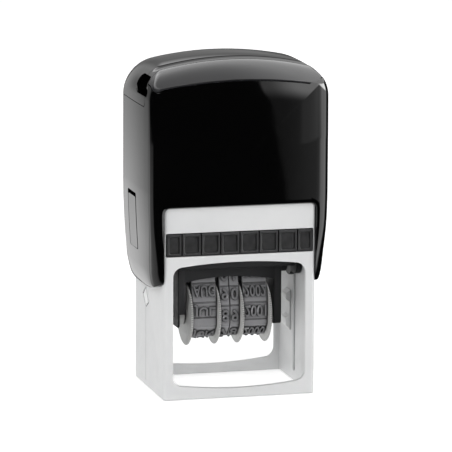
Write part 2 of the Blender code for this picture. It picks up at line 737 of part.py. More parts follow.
def band_path(shoulder):
    """Inner path of a date band: over the nose, and round the lower facets of an octagon."""
    top = PRINT_Z - TYPE_HEIGHT - BAND_THICK
    facet = BAND_INNER * sin(pi / 8) / cos(pi / 8)
    right = [(facet, AXLE_Z - BAND_INNER), (BAND_INNER, AXLE_Z - facet),
             (BAND_INNER, shoulder), (NOSE_HALF + GAP, top - 1.6), (NOSE_HALF - 0.3, top)]
    return mirrored(right)


def offset_path(path, distance):
    """The closed path moved outwards by a distance, corner by corner."""
    moved = []
    count = len(path)
    for i in range(count):
        before = Vector(path[i]) - Vector(path[i - 1])
        after = Vector(path[(i + 1) % count]) - Vector(path[i])
        first = Vector((before.y, -before.x)).normalized()
        second = Vector((after.y, -after.x)).normalized()
        bisector = (first + second).normalized()
        reach = distance / max(0.5, bisector.dot(first))
        moved.append(tuple(Vector(path[i]) + bisector * reach))
    return moved


def band_rows(start, end):
    """Raised rows of type along one straight stretch of a band."""
    a = Vector(start)
    along = Vector(end) - a
    length = along.length
    along.normalize()
    out = Vector((along.y, -along.x)) * TYPE_HEIGHT
    pitch = 5.9
    rows = max(1, floor(length / pitch + 0.25))
    points = []
    for row in range(rows):
        centre = length * (row + 0.5) / rows
        half = min(TYPE_LENGTH, length - 0.6) / 2
        low = a + along * (centre - half)
        high = a + along * (centre + half)
        points += [tuple(low), tuple(low + out), tuple(high + out), tuple(high)]
    return points


def make_band(name, span, shoulder, parent):
    inner = band_path(shoulder)
    base = offset_path(inner, BAND_THICK)
    outline = []
    count = len(base)
    for i in range(count):
        outline.append(base[i])
        following = base[(i + 1) % count]
        if hypot(following[0] - base[i][0], following[1] - base[i][1]) > 4.2:
            outline += band_rows(base[i], following)
    band = prism(outline, "X", *span)
    cut(band, prism(inner, "X", span[0] - 1, span[1] + 1))
    piece(band, name, parent, RUBBER, 0.75)


def make_wheel(name, wheel_x, span, parent):
    """Toothed setting wheel with the hub that drives its band."""
    rim = []
    for i in range(WHEEL_TEETH * 2):
        radius = WHEEL_RADIUS if i % 2 else WHEEL_RADIUS - 0.35
        angle = 2 * pi * i / (WHEEL_TEETH * 2)
        rim.append((radius * cos(angle), AXLE_Z + radius * sin(angle)))
    half = WHEEL_THICK / 2
    wheel = prism(rim, "X", wheel_x - half, wheel_x + half)
    low, high = span
    if wheel_x < (low + high) / 2:
        hub = rod("X", 0, AXLE_Z, HUB_RADIUS, wheel_x, high, 24)
    else:
        hub = rod("X", 0, AXLE_Z, HUB_RADIUS, low, wheel_x, 24)
    join(wheel, hub)
    cut(wheel, rod("X", 0, AXLE_Z, PIN_RADIUS + GAP, -30, 30, 20))
    piece(wheel, name, parent, PALE, 0.45, smooth=25)


def make_axle_parts(parent):
    axle = rod("X", 0, AXLE_Z, PIN_RADIUS, -ARM_OUT - 0.3, ARM_OUT + 0.3, 20)
    piece(axle, "wheel_axle", parent, (0.6, 0.6, 0.61), 0.25, 1.0)
    for side, label in ((-1, "left"), (1, "right")):
        inner = WHEEL_X[3] + WHEEL_THICK / 2 + GAP
        low, high = sorted((side * inner, side * BUSH_OUT))
        bush = rod("X", 0, AXLE_Z, BUSH_RADIUS, low, high, 20)
        cut(bush, rod("X", 0, AXLE_Z, PIN_RADIUS + GAP, low - 1, high + 1, 20))
        piece(bush, "axle_bush_" + label, parent, PALE, 0.45)
        low, high = sorted((side * 21.2, side * 26.8))
        pin = rod("X", 0, PIVOT_Z, PIN_RADIUS, low, high, 20)
        piece(pin, "pivot_pin_" + label, parent, (0.6, 0.6, 0.61), 0.25, 1.0)


# ---------------------------------------------------------------- assembly

def build():
    for obj in list(bpy.data.objects):
        bpy.data.objects.remove(obj)

    stamp = assembly("stamp", (0, 0, 0))
    pad = assembly("pad_slide", (0, 0, PAD_LOW), stamp)
    cap = assembly("cap_slide", (0, 0, CAP_TOP), stamp)
    window = assembly("window_lift", (0, BAND_FRONT, 118), cap)
    carriage = assembly("carriage_pivot", (0, 0, PIVOT_Z), cap)

    make_base_frame(stamp)
    make_ink_pad(pad)
    make_cap_shell(cap)
    make_rear_cover(cap)
    make_index_window(window, cap)
    for side, label in ((-1, "left"), (1, "right")):
        foot = assembly("lock_foot_" + label, (side * TAB_HINGE_X, 0, TAB_FOOT + GAP), cap)
        make_lock_tab(side, "lock_tab_" + label, foot)
        make_spring(side, "return_spring_" + label, stamp)
    make_yoke(cap)

    make_die_plate(carriage)
    make_text_plate(carriage)
    make_date_unit_frame(carriage)
    make_band_nose(carriage)
    make_axle_parts(carriage)
    labels = ("month", "day_tens", "day_units", "year")
    for label, wheel_x, span, shoulder in zip(labels, WHEEL_X, BAND_SPANS, BAND_SHOULDERS):
        make_band(label + "_band", span, shoulder, carriage)
        turn = assembly(label + "_turn", (wheel_x, 0, AXLE_Z), carriage)
        make_wheel(label + "_wheel", wheel_x, span, turn)


build()
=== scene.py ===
"""Looks of a self-inking rotary date stamp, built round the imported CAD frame.

Sizes are millimetres in the CAD's frame: +Z up, front towards -Y, origin in the middle of the
footprint. The mesh functions turn them into metres. Where the CAD has a size, it is read from a
node's box; the cap's surface is the CAD's own formula, drawn with many more points and slightly
bulged sides, and the index window's corners and front edge are finer than in the CAD.
"""

from functools import reduce
from math import atan2, cos, pi, radians, sin, sqrt

import bmesh
import bpy
from mathutils import Matrix, Vector


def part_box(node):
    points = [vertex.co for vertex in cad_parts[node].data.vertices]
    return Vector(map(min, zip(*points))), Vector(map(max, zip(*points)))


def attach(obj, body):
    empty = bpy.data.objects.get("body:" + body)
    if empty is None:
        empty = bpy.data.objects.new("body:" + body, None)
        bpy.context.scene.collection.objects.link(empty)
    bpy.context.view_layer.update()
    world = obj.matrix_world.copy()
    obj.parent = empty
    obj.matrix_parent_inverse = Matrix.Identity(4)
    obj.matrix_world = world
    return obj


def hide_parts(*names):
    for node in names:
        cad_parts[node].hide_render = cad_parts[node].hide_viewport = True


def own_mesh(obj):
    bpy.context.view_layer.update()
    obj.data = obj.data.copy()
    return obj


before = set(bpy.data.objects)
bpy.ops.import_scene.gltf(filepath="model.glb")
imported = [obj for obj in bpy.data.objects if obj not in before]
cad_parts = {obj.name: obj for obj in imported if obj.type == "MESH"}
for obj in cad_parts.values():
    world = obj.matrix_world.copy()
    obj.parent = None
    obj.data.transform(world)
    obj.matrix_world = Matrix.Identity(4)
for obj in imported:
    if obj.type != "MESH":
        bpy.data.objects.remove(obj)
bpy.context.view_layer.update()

MM = 0.001
GAP = 0.3  # clearance between neighbouring pieces


def limits(node):
    """Lowest and highest corner of a CAD node, in millimetres."""
    low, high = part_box(node)
    return Vector(low) / MM, Vector(high) / MM


pad_low, pad_high = limits("ink_pad_tray")
cap_low, cap_high = limits("cap_shell")
axle_low, axle_high = limits("wheel_axle")
wheel_low, wheel_high = limits("month_wheel")
pin_low, pin_high = limits("pivot_pin_left")
spring_low, spring_high = limits("return_spring_right")
yoke_low, yoke_high = limits("drive_yoke")
unit_low, unit_high = limits("date_unit_frame")

FRAME_HALF, FRAME_DEPTH, FRAME_TOP = limits("base_frame")[1]
FRAME_WALL = 1.6
WINDOW_HALF = 24.4
WINDOW_CORNER = 3.6
DECK_LOW = 60.9
DECK_HIGH = 62.4

PAD_LOW = pad_low.z
PAD_HIGH = pad_high.z
PAD_FRONT_HALF = pad_high.x
PAD_HALF = 23.8
PAD_CELL = 7.1

CAP_HALF, CAP_DEPTH = cap_high.xy
CAP_BOW = 3.2  # how much lower the cap's sides reach in their middle
CAP_LOW = cap_low.z + CAP_BOW
CAP_TOP = limits("rear_cover")[1].z
CAP_WALL = 2.1
CAP_CORNER = 11.8  # radius of the two upper corners, seen from the front
CAP_CROWN = 119.0  # radius of the wide arch over the top
CAP_EDGE = 4.5  # radius of the upright edges
SIDE_BULGE = 0.4  # how far the sides stand out in their middle
SIDE_TOP = 94.0  # the sides are drawn up to here, and the roof from here
TUCK_TOP = 74.0  # the sides curve inwards below this height
LIP_TOP = 48.0  # and more sharply below this one
NOTCH_HALF = 28.2
NOTCH_TOP = 69.7
NOTCH_LIP = 1.7  # rounding of the notch's front edges
BAND_FRONT = -CAP_DEPTH  # the index window slopes from here ...
BAND_REAR = -13.0  # ... to here
RIDGE = -12.0  # a flat strip of roof lies between the window and here
COVER_FRONT = -7.0
COVER_SEAM = 105.2
BAND_FALL = 5.85  # height of the window's slope
BAND_RIGHT = 36.5  # angle of the window's right end on the roof
BAND_LEFT = 27.0  # and of its left end, which reaches further round the corner
BAND_RIGHT_TURN = 25.0  # how far the front corner of the right end is cut back
BAND_LEFT_TIP = 24.0  # how much further the left end's front tip reaches
ARCH_FLATTENING = 45.0  # growth of the arch's radius down the window's slope
ARCH_BLEND = 0.9  # height over which the arch runs into the roof's corners
REAR_CORNERS = 0.15  # share of the slope that the window's rear corners take up
FRONT_CORNER = 0.6  # and its right front corner
SLOPE_STEEPNESS = 0.13  # extra height of a wall set in under the slope
SCOOP_RADIUS = 3.4  # rear round end of the finger scoops

TAB_FRONT = -0.7
TAB_REAR = 11.9
TAB_FOOT = 51.4
TAB_SLOT_TOP = 72.0
TAB_TIP = 70.5

YOKE_OUT = yoke_high.x
YOKE_IN = 24.2
YOKE_FRONT = -4.8
YOKE_REAR = yoke_high.y
YOKE_LOW = yoke_low.z
YOKE_SHOE = (yoke_low.y, 41.4, 50.2)  # front, foot and top of the guide shoe on each arm
YOKE_BRIDGE = 106.0
SPRING_X = 12.0
SPRING_WIRE = 0.5
SPRING_TURNS = 8
SPRING_RADIUS = spring_high.x - SPRING_X - SPRING_WIRE

PIVOT_Z = (pin_low.z + pin_high.z) / 2
PIN_RADIUS = (pin_high.z - pin_low.z) / 2
PLATE_HALF, PLATE_DEPTH, PLATE_HIGH = limits("die_plate")[1]
PLATE_LOW = 46.0
TEXT_HALF, TEXT_DEPTH, PRINT_Z = limits("text_plate")[1]
ARM_IN = 16.4
ARM_OUT = unit_high.x
ARM_FOOT = unit_low.z
ARM_DEPTH = unit_high.y
BUSH_OUT, BUSH_RADIUS = limits("axle_bush_right")[1].xy
AXLE_Z = (axle_low.z + axle_high.z) / 2
WHEEL_RADIUS = (wheel_high.z - wheel_low.z) / 2
WHEEL_THICK = 1.0
WHEEL_X = (-14.7, -4.3, 4.3, 14.7)
WHEEL_TEETH = 104
HUB_RADIUS = 6.8
BAND_NAMES = ("month", "day_tens", "day_units", "year")
BAND_SPANS = ((-13.9, -5.1), (-3.5, -0.15), (0.15, 3.5), (5.1, 13.9))
BAND_SHOULDERS = (32.2, 30.7, 30.7, 31.5)
BAND_INNER = 7.1
BAND_THICK = 0.9
TYPE_HEIGHT = 0.9
PAD_STEP = 0.2  # how far a row's pad stands above the band
NOSE_HALF = 2.4
SIDES = ((-1, "left"), (1, "right"))


def clamp(value):
    """The value, held between 0 and 1."""
    return min(1.0, max(0.0, value))


def across(side, a, b):
    """Two distances from the middle plane, taken to one side of it, in rising order."""
    return sorted((side * a, side * b))


# -------- outlines

def arc(centre_a, centre_b, radius, start, end, steps):
    """Points of an arc, from one angle to another, in degrees."""
    points = []
    for i in range(steps + 1):
        angle = radians(start + (end - start) * i / steps)
        points.append((centre_a + radius * cos(angle), centre_b + radius * sin(angle)))
    return points


def circle(centre_a, centre_b, radius, steps=48):
    return arc(centre_a, centre_b, radius, 0, 360, steps)[:-1]


def rounded_box(a0, a1, b0, b1, radius, steps=8):
    """Counter-clockwise rectangle with round corners."""
    corners = ((a1 - radius, b0 + radius, -90), (a1 - radius, b1 - radius, 0),
               (a0 + radius, b1 - radius, 90), (a0 + radius, b0 + radius, 180))
    points = []
    for a, b, start in corners:
        points += arc(a, b, radius, start, start + 90, steps)
    return points


def mirrored(points):
    """A closed outline from its right half, listed from bottom to top."""
    return points + [(-a, b) for a, b in reversed(points)]


def window_outline(grow=0.0):
    """The frame's window: round corners, a sagging lower edge and an arched upper edge."""
    corner = WINDOW_CORNER + grow
    inner = WINDOW_HALF - WINDOW_CORNER
    low_side, low_middle, high_side, high_middle = 4.9, 3.5, 48.2, 49.4
    half = []
    for i in range(1, 16):
        x = inner * i / 15
        half.append((x, low_middle - grow + (low_side - low_middle) * (x / inner) ** 2))
    half += arc(inner, low_side + WINDOW_CORNER, corner, -90, 0, 12)[1:]
    half += arc(inner, high_side - WINDOW_CORNER, corner, 0, 90, 12)
    for i in range(14, 0, -1):
        x = inner * i / 15
        half.append((x, high_middle + grow - (high_middle - high_side) * (x / inner) ** 2))
    return mirrored(half)


def offset_path(path, distance):
    """The closed path moved outwards by a distance, corner by corner."""
    moved = []
    count = len(path)
    for i in range(count):
        before = Vector(path[i]) - Vector(path[i - 1])
        after = Vector(path[(i + 1) % count]) - Vector(path[i])
        first = Vector((before.y, -before.x)).normalized()
        second = Vector((after.y, -after.x)).normalized()
        bisector = (first + second).normalized()
        moved.append(tuple(Vector(path[i]) + bisector * distance / max(0.5, bisector.dot(first))))
    return moved


def spread(first, last, steps):
    """Evenly spread numbers, without the last one."""
    return [first + (last - first) * i / steps for i in range(steps)]


# -------- solids

def place(axis, a, b, along):
    """A point from two outline coordinates and its place along the sweep axis."""
    return {"X": (along, a, b), "Y": (a, along, b), "Z": (a, b, along)}[axis]


def add_object(name, data):
    """A new object in the scene."""
    obj = bpy.data.objects.new(name, data)
    bpy.context.scene.collection.objects.link(obj)
    return obj


def evaluated_mesh(obj):
    """The mesh that an object's modifiers or text settings make."""
    depsgraph = bpy.context.evaluated_depsgraph_get()
    return bpy.data.meshes.new_from_object(obj.evaluated_get(depsgraph))


def solid(loops, ring=False):
    """A closed solid through equal loops of points, flat at both ends or joined into a ring."""
    bm = bmesh.new()
    rings = [[bm.verts.new(Vector(point) * MM) for point in loop] for loop in loops]
    count = len(rings[0])
    pairs = list(zip(rings, rings[1:]))
    if ring:
        pairs.append((rings[-1], rings[0]))
    for near, far in pairs:
        for i in range(count):
            j = (i + 1) % count
            bm.faces.new((near[i], near[j], far[j], far[i]))
    if not ring:
        bm.faces.new(rings[0])
        bm.faces.new(rings[-1][::-1])
    bmesh.ops.recalc_face_normals(bm, faces=bm.faces)
    mesh = bpy.data.meshes.new("solid")
    bm.to_mesh(mesh)
    bm.free()
    return add_object("solid", mesh)


def swept(sections, axis):
    """A solid through (place, outline) sections along an axis; a section's outline is given as
    (y, z), (x, z) or (x, y)."""
    return solid([[place(axis, a, b, along) for a, b in outline] for along, outline in sections])


def prism(outline, axis, low, high):
    """An outline swept straight along an axis."""
    return swept([(low, outline), (high, outline)], axis)


def slab(outline, axis, low, high, edge=0.3, steps=3):
    """A counter-clockwise outline swept along an axis, with rounded rims."""
    loops = [(low + edge - edge * cos(pi / 2 * i / steps), edge - edge * sin(pi / 2 * i / steps))
             for i in range(steps + 1)]
    loops += [(high + low - along, inset) for along, inset in reversed(loops)]
    return swept([(along, offset_path(outline, -inset)) for along, inset in loops], axis)


def flared(outline_at, y_face, outward, radius, depth, steps=6):
    """A cutter along Y that leaves a rounded rim where it meets a face."""
    sections = [(-1.0, radius)]
    for i in range(steps + 1):
        angle = pi / 2 * i / steps
        sections.append((radius * (1 - cos(angle)), radius * (1 - sin(angle))))
    sections.append((depth, 0.0))
    return swept([(y_face - outward * reach, outline_at(grow)) for reach, grow in sections], "Y")


def box(x0, x1, y0, y1, z0, z1):
    return prism([(x0, y0), (x1, y0), (x1, y1), (x0, y1)], "Z", z0, z1)


def soft_box(x0, x1, y0, y1, z0, z1, corner=0.4, edge=0.3):
    return slab(rounded_box(x0, x1, y0, y1, corner, 4), "Z", z0, z1, edge)


def plate(half_x, half_y, corner, z0, z1, edge):
    """A flat piece with round corners, centred on the upright axis."""
    return slab(rounded_box(-half_x, half_x, -half_y, half_y, corner), "Z", z0, z1, edge)


def rod(axis, a, b, radius, low, high, steps=48):
    return prism(circle(a, b, radius, steps), axis, low, high)


def combine(target, tools, operation):
    """Cuts the tools from the target, joins them to it, or keeps what they share."""
    for tool in tools:
        modifier = target.modifiers.new("combine", "BOOLEAN")
        modifier.operation = operation
        modifier.solver = "EXACT"
        modifier.object = tool
        mesh = evaluated_mesh(target)
        target.modifiers.clear()
        target.data = mesh
        bpy.data.objects.remove(tool)
    return target


def cut(target, *tools):
    return combine(target, tools, "DIFFERENCE")


def join(target, *tools):
    return combine(target, tools, "UNION")


def keep(target, *tools):
    return combine(target, tools, "INTERSECT")


def turned(profile, centre_b, steps, knurl=0.0):
    """A ring turned about an axis along X from a closed (radius, x) profile, with an optional
    knurl that bites into its outermost twentieth."""
    greatest = max(radius for radius, x in profile)
    loops = []
    for i in range(steps):
        angle = 2 * pi * i / steps
        bite = knurl * (0.5 - 0.5 * cos(WHEEL_TEETH * angle))
        loop = []
        for radius, x in profile:
            share = max(0.0, (radius / greatest - 0.95) / 0.05)
            reach = radius - bite * share
            loop.append((x, reach * cos(angle), centre_b + reach * sin(angle)))
        loops.append(loop)
    return solid(loops, ring=True)


def show(obj, node, body, slot, smooth=35, finish=None):
    """Gives a piece its name, shading, finish and body, and says which CAD node it stands for."""
    obj.name = node + "_fine"
    obj.data.name = node + "_fine"
    bm = bmesh.new()
    bm.from_mesh(obj.data)
    bmesh.ops.remove_doubles(bm, verts=bm.verts, dist=1e-7)
    bmesh.ops.dissolve_degenerate(bm, edges=bm.edges, dist=1e-7)
    bm.to_mesh(obj.data)
    bm.free()
    obj.data.materials.clear()
    obj.data.materials.append(FINISHES[finish or slot])
    obj.data.shade_smooth()
    obj.data.set_sharp_from_angle(angle=radians(smooth))
    weighted = obj.modifiers.new("normals", "WEIGHTED_NORMAL")
    weighted.keep_sharp = True
    weighted.weight = 80
    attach(obj, body)
    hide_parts(node)
    return obj


# -------- materials

class Finish:
    """A Principled material whose nodes read the piece's own coordinates."""

    def __init__(self, name, roughness, metallic=0.0, ior=1.5):
        self.material = bpy.data.materials.new(name)
        self.material.use_nodes = True
        self.tree = self.material.node_tree
        self.shader = self.tree.nodes["Principled BSDF"]
        self.shader.inputs["Roughness"].default_value = roughness
        self.shader.inputs["Metallic"].default_value = metallic
        self.shader.inputs["IOR"].default_value = ior
        self.where = self.tree.nodes.new("ShaderNodeTexCoord").outputs["Object"]

    def node(self, kind, **settings):
        made = self.tree.nodes.new(kind)
        for key, value in settings.items():
            if key in made.inputs:
                made.inputs[key].default_value = value
            else:
                setattr(made, key, value)
        return made

    def link(self, source, target):
        self.tree.links.new(source, target)

    def stretched(self, scale):
        mapping = self.node("ShaderNodeMapping")
        mapping.inputs["Scale"].default_value = scale
        self.link(self.where, mapping.inputs["Vector"])
        return mapping.outputs["Vector"]

    def texture(self, kind, vector=None, **settings):
        made = self.node(kind, **settings)
        self.link(vector or self.where, made.inputs["Vector"])
        return made

    def noise(self, scale, detail=3.0, vector=None, roughness=0.5):
        return self.texture("ShaderNodeTexNoise", vector, Scale=scale, Detail=detail,
                            Roughness=roughness).outputs["Fac"]

    def remap(self, value, low, high, to_low, to_high):
        made = self.node("ShaderNodeMapRange", clamp=True)
        self.link(value, made.inputs["Value"])
        for key, number in zip(("From Min", "From Max", "To Min", "To Max"),
                               (low, high, to_low, to_high)):
            made.inputs[key].default_value = number
        return made.outputs["Result"]

    def mix(self, share, first, second):
        """Mixes two colours, or a colour and a socket, by a share."""
        made = self.node("ShaderNodeMix", data_type="RGBA")
        self.link(share, made.inputs["Factor"])
        for socket, value in ((made.inputs[6], first), (made.inputs[7], second)):
            if isinstance(value, tuple):
                socket.default_value = (*value, 1.0)
            else:
                self.link(value, socket)
        return made.outputs[2]

    def patches(self, dark, light, scale, detail):
        """Two colours in cloudy patches."""
        return self.mix(self.remap(self.noise(scale, detail), 0.3, 0.7, 0, 1), dark, light)

    def edges(self, low=0.52, high=0.6):
        """Share of a raised edge, from the mesh's pointiness."""
        geometry = self.node("ShaderNodeNewGeometry")
        return self.remap(geometry.outputs["Pointiness"], low, high, 0.0, 1.0)

    def hollow_shade(self, distance, low=0.45, high=0.9):
        """Share of a narrow hollow, from ambient occlusion, where the finishes paint shade."""
        occlusion = self.node("ShaderNodeAmbientOcclusion", Distance=distance)
        occlusion.samples = 8
        return self.remap(occlusion.outputs["AO"], low, high, 1.0, 0.0)

    def color(self, socket):
        self.link(socket, self.shader.inputs["Base Color"])

    def rough(self, socket):
        self.link(socket, self.shader.inputs["Roughness"])

    def dull(self, share):
        """Takes the shine off where a share is high, as in deep hollows and seams."""
        self.link(self.remap(share, 0.0, 1.0, 0.5, 0.0), self.shader.inputs["Specular IOR Level"])

    def bump(self, socket, distance, strength=1.0):
        made = self.node("ShaderNodeBump", Strength=strength, Distance=distance)
        self.link(socket, made.inputs["Height"])
        before = self.shader.inputs["Normal"].links
        if before:
            self.link(before[0].from_socket, made.inputs["Normal"])
        self.link(made.outputs["Normal"], self.shader.inputs["Normal"])


def glossy_plastic(name, dark, light, roughness):
    """Polished moulding: faint flow marks, a hint of orange peel, hairline wear at the edges, and painted
    shade that takes the shine off its hollows and seams.
    """
    made = Finish(name, roughness)
    shade = made.patches(dark, light, 45, 2.0)
    made.color(made.mix(made.edges(0.56, 0.68), shade, tuple(c * 2.2 + 0.004 for c in light)))
    scratches = made.noise(900, 4.0, made.stretched((1.0, 1.0, 0.12)), 0.7)
    made.rough(made.remap(scratches, 0.35, 0.8, roughness, roughness + 0.03))
    made.bump(made.noise(160, 1.0), 0.000004)
    # painted shade: the shine is taken off in hollows and seams
    made.dull(made.hollow_shade(0.0022, 0.5, 0.9))
    return made.material


def satin_plastic(name, dark, light, roughness, blotches, painted_shade_reach, ior=1.5):
    """Spark-eroded moulding: even fine grain, paler at the edges, with painted shade darkening its fine
    grooves.
    """
    made = Finish(name, roughness, ior=ior)
    skin = made.patches(dark, light, blotches, 4.0)
    polished = tuple(min(1.0, c * 1.12 + 0.006) for c in light)
    skin = made.mix(made.edges(), skin, polished)
    # painted shade: fine grooves and hollows are darkened by their ambient occlusion
    if painted_shade_reach > 0:
        skin = made.mix(made.hollow_shade(painted_shade_reach), skin, tuple(c * 0.25 for c in dark))
    made.color(skin)
    made.rough(made.remap(made.noise(420, 3.0), 0.3, 0.7, roughness - 0.05, roughness + 0.07))
    made.bump(made.noise(2600, 2.0), 0.000012)
    return made.material


def rubber(name, dark, light, roughness):
    """Vulcanised rubber: matt skin, rubbed crests, and hollows darkened as painted shade and ink residue."""
    made = Finish(name, roughness)
    made.shader.inputs["Sheen Weight"].default_value = 0.15
    skin = made.patches(dark, light, 260, 5.0)
    worn = made.mix(made.edges(0.53, 0.62), skin, tuple(c * 1.9 for c in light))
    # painted shade with ink residue: the hollows are darkened by their ambient occlusion
    made.color(made.mix(made.hollow_shade(0.0014, 0.55, 0.95), worn, tuple(c * 0.12 for c in dark)))
    made.rough(made.remap(made.noise(900, 3.0), 0.3, 0.7, roughness - 0.1, roughness + 0.1))
    made.bump(made.noise(3200, 3.0), 0.00003, 0.7)
    return made.material


def drawn_steel(name, dark, light):
    """Drawn wire and rod: fine lengthwise lines and duller patches."""
    made = Finish(name, 0.25, metallic=1.0)
    made.color(made.mix(made.noise(300, 3.0), dark, light))
    lines = made.noise(1500, 2.0, made.stretched((0.08, 1.0, 1.0)))
    made.rough(made.remap(lines, 0.3, 0.7, 0.18, 0.36))
    made.bump(lines, 0.000005)
    return made.material


def ink_foam(name):
    """Open-cell foam soaked with ink: dark cells between wet, slightly shiny walls."""
    made = Finish(name, 0.6)
    cells = made.texture("ShaderNodeTexVoronoi", Scale=2200.0)
    wet = made.remap(made.noise(120, 3.0), 0.4, 0.6, 0, 1)
    made.color(made.mix(wet, (0.008, 0.008, 0.02), (0.022, 0.022, 0.05)))
    made.rough(made.remap(made.noise(200, 2.0), 0.35, 0.65, 0.45, 0.9))
    made.bump(cells.outputs["Distance"], 0.00025)
    return made.material


def printed_card(name):
    """Dark index card with a faint ruled grid and paper fibres."""
    made = Finish(name, 0.7)
    grid = made.texture("ShaderNodeTexBrick", Scale=60.0, offset=0.0)
    grid.inputs["Mortar Size"].default_value = 0.02
    for key, color in (("Color1", (0.05, 0.05, 0.055, 1)), ("Color2", (0.06, 0.06, 0.065, 1)),
                       ("Mortar", (0.16, 0.16, 0.17, 1))):
        grid.inputs[key].default_value = color
    fibres = made.noise(1800, 4.0, made.stretched((0.3, 1.0, 1.0)))
    made.color(made.mix(made.remap(fibres, 0.5, 0.75, 0, 0.3), grid.outputs["Color"],
                        (0.12, 0.12, 0.13)))
    made.rough(made.remap(fibres, 0.3, 0.7, 0.6, 0.8))
    made.bump(fibres, 0.00002)
    return made.material


# in a satin recipe, the number after the blotch scale is how far its painted shade in hollows reaches
RECIPES = {
    "cap_plastic": (glossy_plastic, (0.0009, 0.0009, 0.001), (0.0013, 0.0013, 0.0014), 0.02),
    "window_plastic": (glossy_plastic, (0.02, 0.02, 0.022), (0.028, 0.028, 0.03), 0.05),
    "frame_plastic": (satin_plastic, (0.68, 0.685, 0.69), (0.725, 0.73, 0.73), 0.38, 70, 0.0005),
    "pad_plastic": (satin_plastic, (0.0015, 0.0015, 0.0015), (0.018, 0.018, 0.019), 0.42, 330, 0.0007, 1.4),
    "inner_plastic": (satin_plastic, (0.006, 0.006, 0.007), (0.01, 0.01, 0.011), 0.42, 70, 0.0, 1.36),
    "wheel_plastic": (satin_plastic, (0.48, 0.48, 0.47), (0.56, 0.56, 0.55), 0.42, 70, 0.0007),
    "band_rubber": (rubber, (0.11, 0.11, 0.115), (0.15, 0.15, 0.155), 0.7),
    "text_rubber": (rubber, (0.1, 0.035, 0.03), (0.14, 0.048, 0.04), 0.75),
    "steel": (drawn_steel, (0.5, 0.5, 0.51), (0.68, 0.68, 0.69)),
    "burnished_steel": (drawn_steel, (0.03, 0.03, 0.03), (0.05, 0.05, 0.052)),
    "foam": (ink_foam,),
    "card": (printed_card,),
}
FINISHES = {name: recipe(name, *settings) for name, (recipe, *settings) in RECIPES.items()}


# -------- cap surface

def slope_share(y):
    """How far down the sloping front of the roof a place lies, from 0 to 1."""
    return clamp((BAND_REAR - y) / (BAND_REAR - BAND_FRONT))


def roof_drop(y):
    """How far the top of the cap lies below its crown, from front to rear."""
    if y <= BAND_REAR:
        return 0.75 + BAND_FALL * slope_share(y) ** 1.3
    if y <= RIDGE:
        return 0.7
    if y <= COVER_FRONT:
        share = (y - RIDGE) / (COVER_FRONT - RIDGE)
        return 0.7 - 0.35 * share + 0.9 * sin(pi * share)
    if y <= 0:
        return 0.35 * (y / COVER_FRONT) ** 2
    return 12.0 * (1 - (1 - min(1.0, y / CAP_DEPTH) ** 3.2) ** (1 / 3.2))


def side_tuck(z):
    """How far the cap's side walls curve inwards towards their lower ends."""
    share = clamp((TUCK_TOP - z) / (TUCK_TOP - CAP_LOW))
    lip = clamp((LIP_TOP - z) / (LIP_TOP - CAP_LOW))
    return 1.7 * share ** 1.6 + 1.2 * (1 - sqrt(1 - lip * lip))


def edge_radius(y, z):
    """Radius of the upright edges; those in front open out towards their lower ends."""
    share = clamp((64 - z) / 20)
    growth = 3.5 if y < 0 else 0.5
    return CAP_EDGE + growth * share * share * (3 - 2 * share)


def edge_drop(y, radius, inset):
    """How far the side lies inwards at a place on the rounded upright edge."""
    rounding = max(0.5, radius - inset)
    reach = abs(y) - (CAP_DEPTH - inset - rounding)
    if reach <= 0:
        return 0.0
    return rounding - sqrt(max(0.0, rounding ** 2 - reach ** 2))


CORNER_X = CAP_HALF - CAP_CORNER
CROWN_Z = CAP_TOP - CAP_CROWN
CORNER_Z = CROWN_Z + sqrt((CAP_CROWN - CAP_CORNER) ** 2 - CORNER_X ** 2)
CORNER_TURN = atan2(CORNER_Z - CROWN_Z, CORNER_X)


def roof_arch(x, y, inset):
    """Height of the flatter arch that cuts the corners off the front of the roof."""
    share = slope_share(y)
    radius = CAP_CROWN + ARCH_FLATTENING * share
    steepness = 1 + SLOPE_STEEPNESS * min(1.0, 3 * share)
    return CAP_TOP - inset * steepness - roof_drop(y) - x * x / (2 * radius)


def lower_of(first, second, blend):
    """The lower of two heights, with the crossing rounded off over a blend height."""
    if blend <= 0:
        return min(first, second)
    near = max(0.0, 1 - abs(first - second) / blend)
    return min(first, second) - near * near * blend / 4


def roof_point(angle, y, roof_y, inset):
    """The point of the roof whose face looks along an angle, 0 at the right and 180 at the left."""
    drop = edge_drop(y, CAP_EDGE, inset)
    a = radians(angle)
    if CORNER_TURN < a < pi - CORNER_TURN:
        radius = CAP_CROWN - inset - drop
        x = radius * cos(a)
        z = CROWN_Z + drop + radius * sin(a)
    else:
        side = 1 if a <= pi / 2 else -1
        radius = CAP_CORNER - inset - drop
        x = side * CORNER_X + radius * cos(a)
        z = CORNER_Z + drop + radius * sin(a)
    if roof_y > 0:
        return (x, z - roof_drop(roof_y))
    return (x, lower_of(z, roof_arch(x, roof_y, inset), ARCH_BLEND * min(1.0, 5 * slope_share(roof_y))))


def roof_angles(first, last, fine):
    """Angles along the roof, closer together over the wide arch."""
    corner = 78.4
    steps_corner, steps_top = (24, 66) if fine else (10, 12)
    angles = spread(0, corner, steps_corner) + spread(corner, 180 - corner, steps_top)
    angles += spread(180 - corner, 180, steps_corner) + [180]
    inside = [angle for angle in angles if first + 0.5 < angle < last - 0.5]
    return [first] + inside + [last]


def stations(fine):
    """Places from front to rear, closer together over the rounded edges."""
    turns = 10 if fine else 5
    straight = CAP_DEPTH - CAP_EDGE
    edge = [straight + CAP_EDGE * sin(pi / 2 * i / turns) for i in range(turns, -1, -1)]
    step = 2 if fine else 1
    middle = spread(-straight, BAND_REAR, 3 * step)[1:] + spread(BAND_REAR, RIDGE, step)
    middle += spread(RIDGE, COVER_FRONT, 5 * step) + spread(COVER_FRONT, 0, 3 * step)
    middle += spread(0, straight, 6 * step)
    return [-y for y in edge] + middle + edge[::-1]


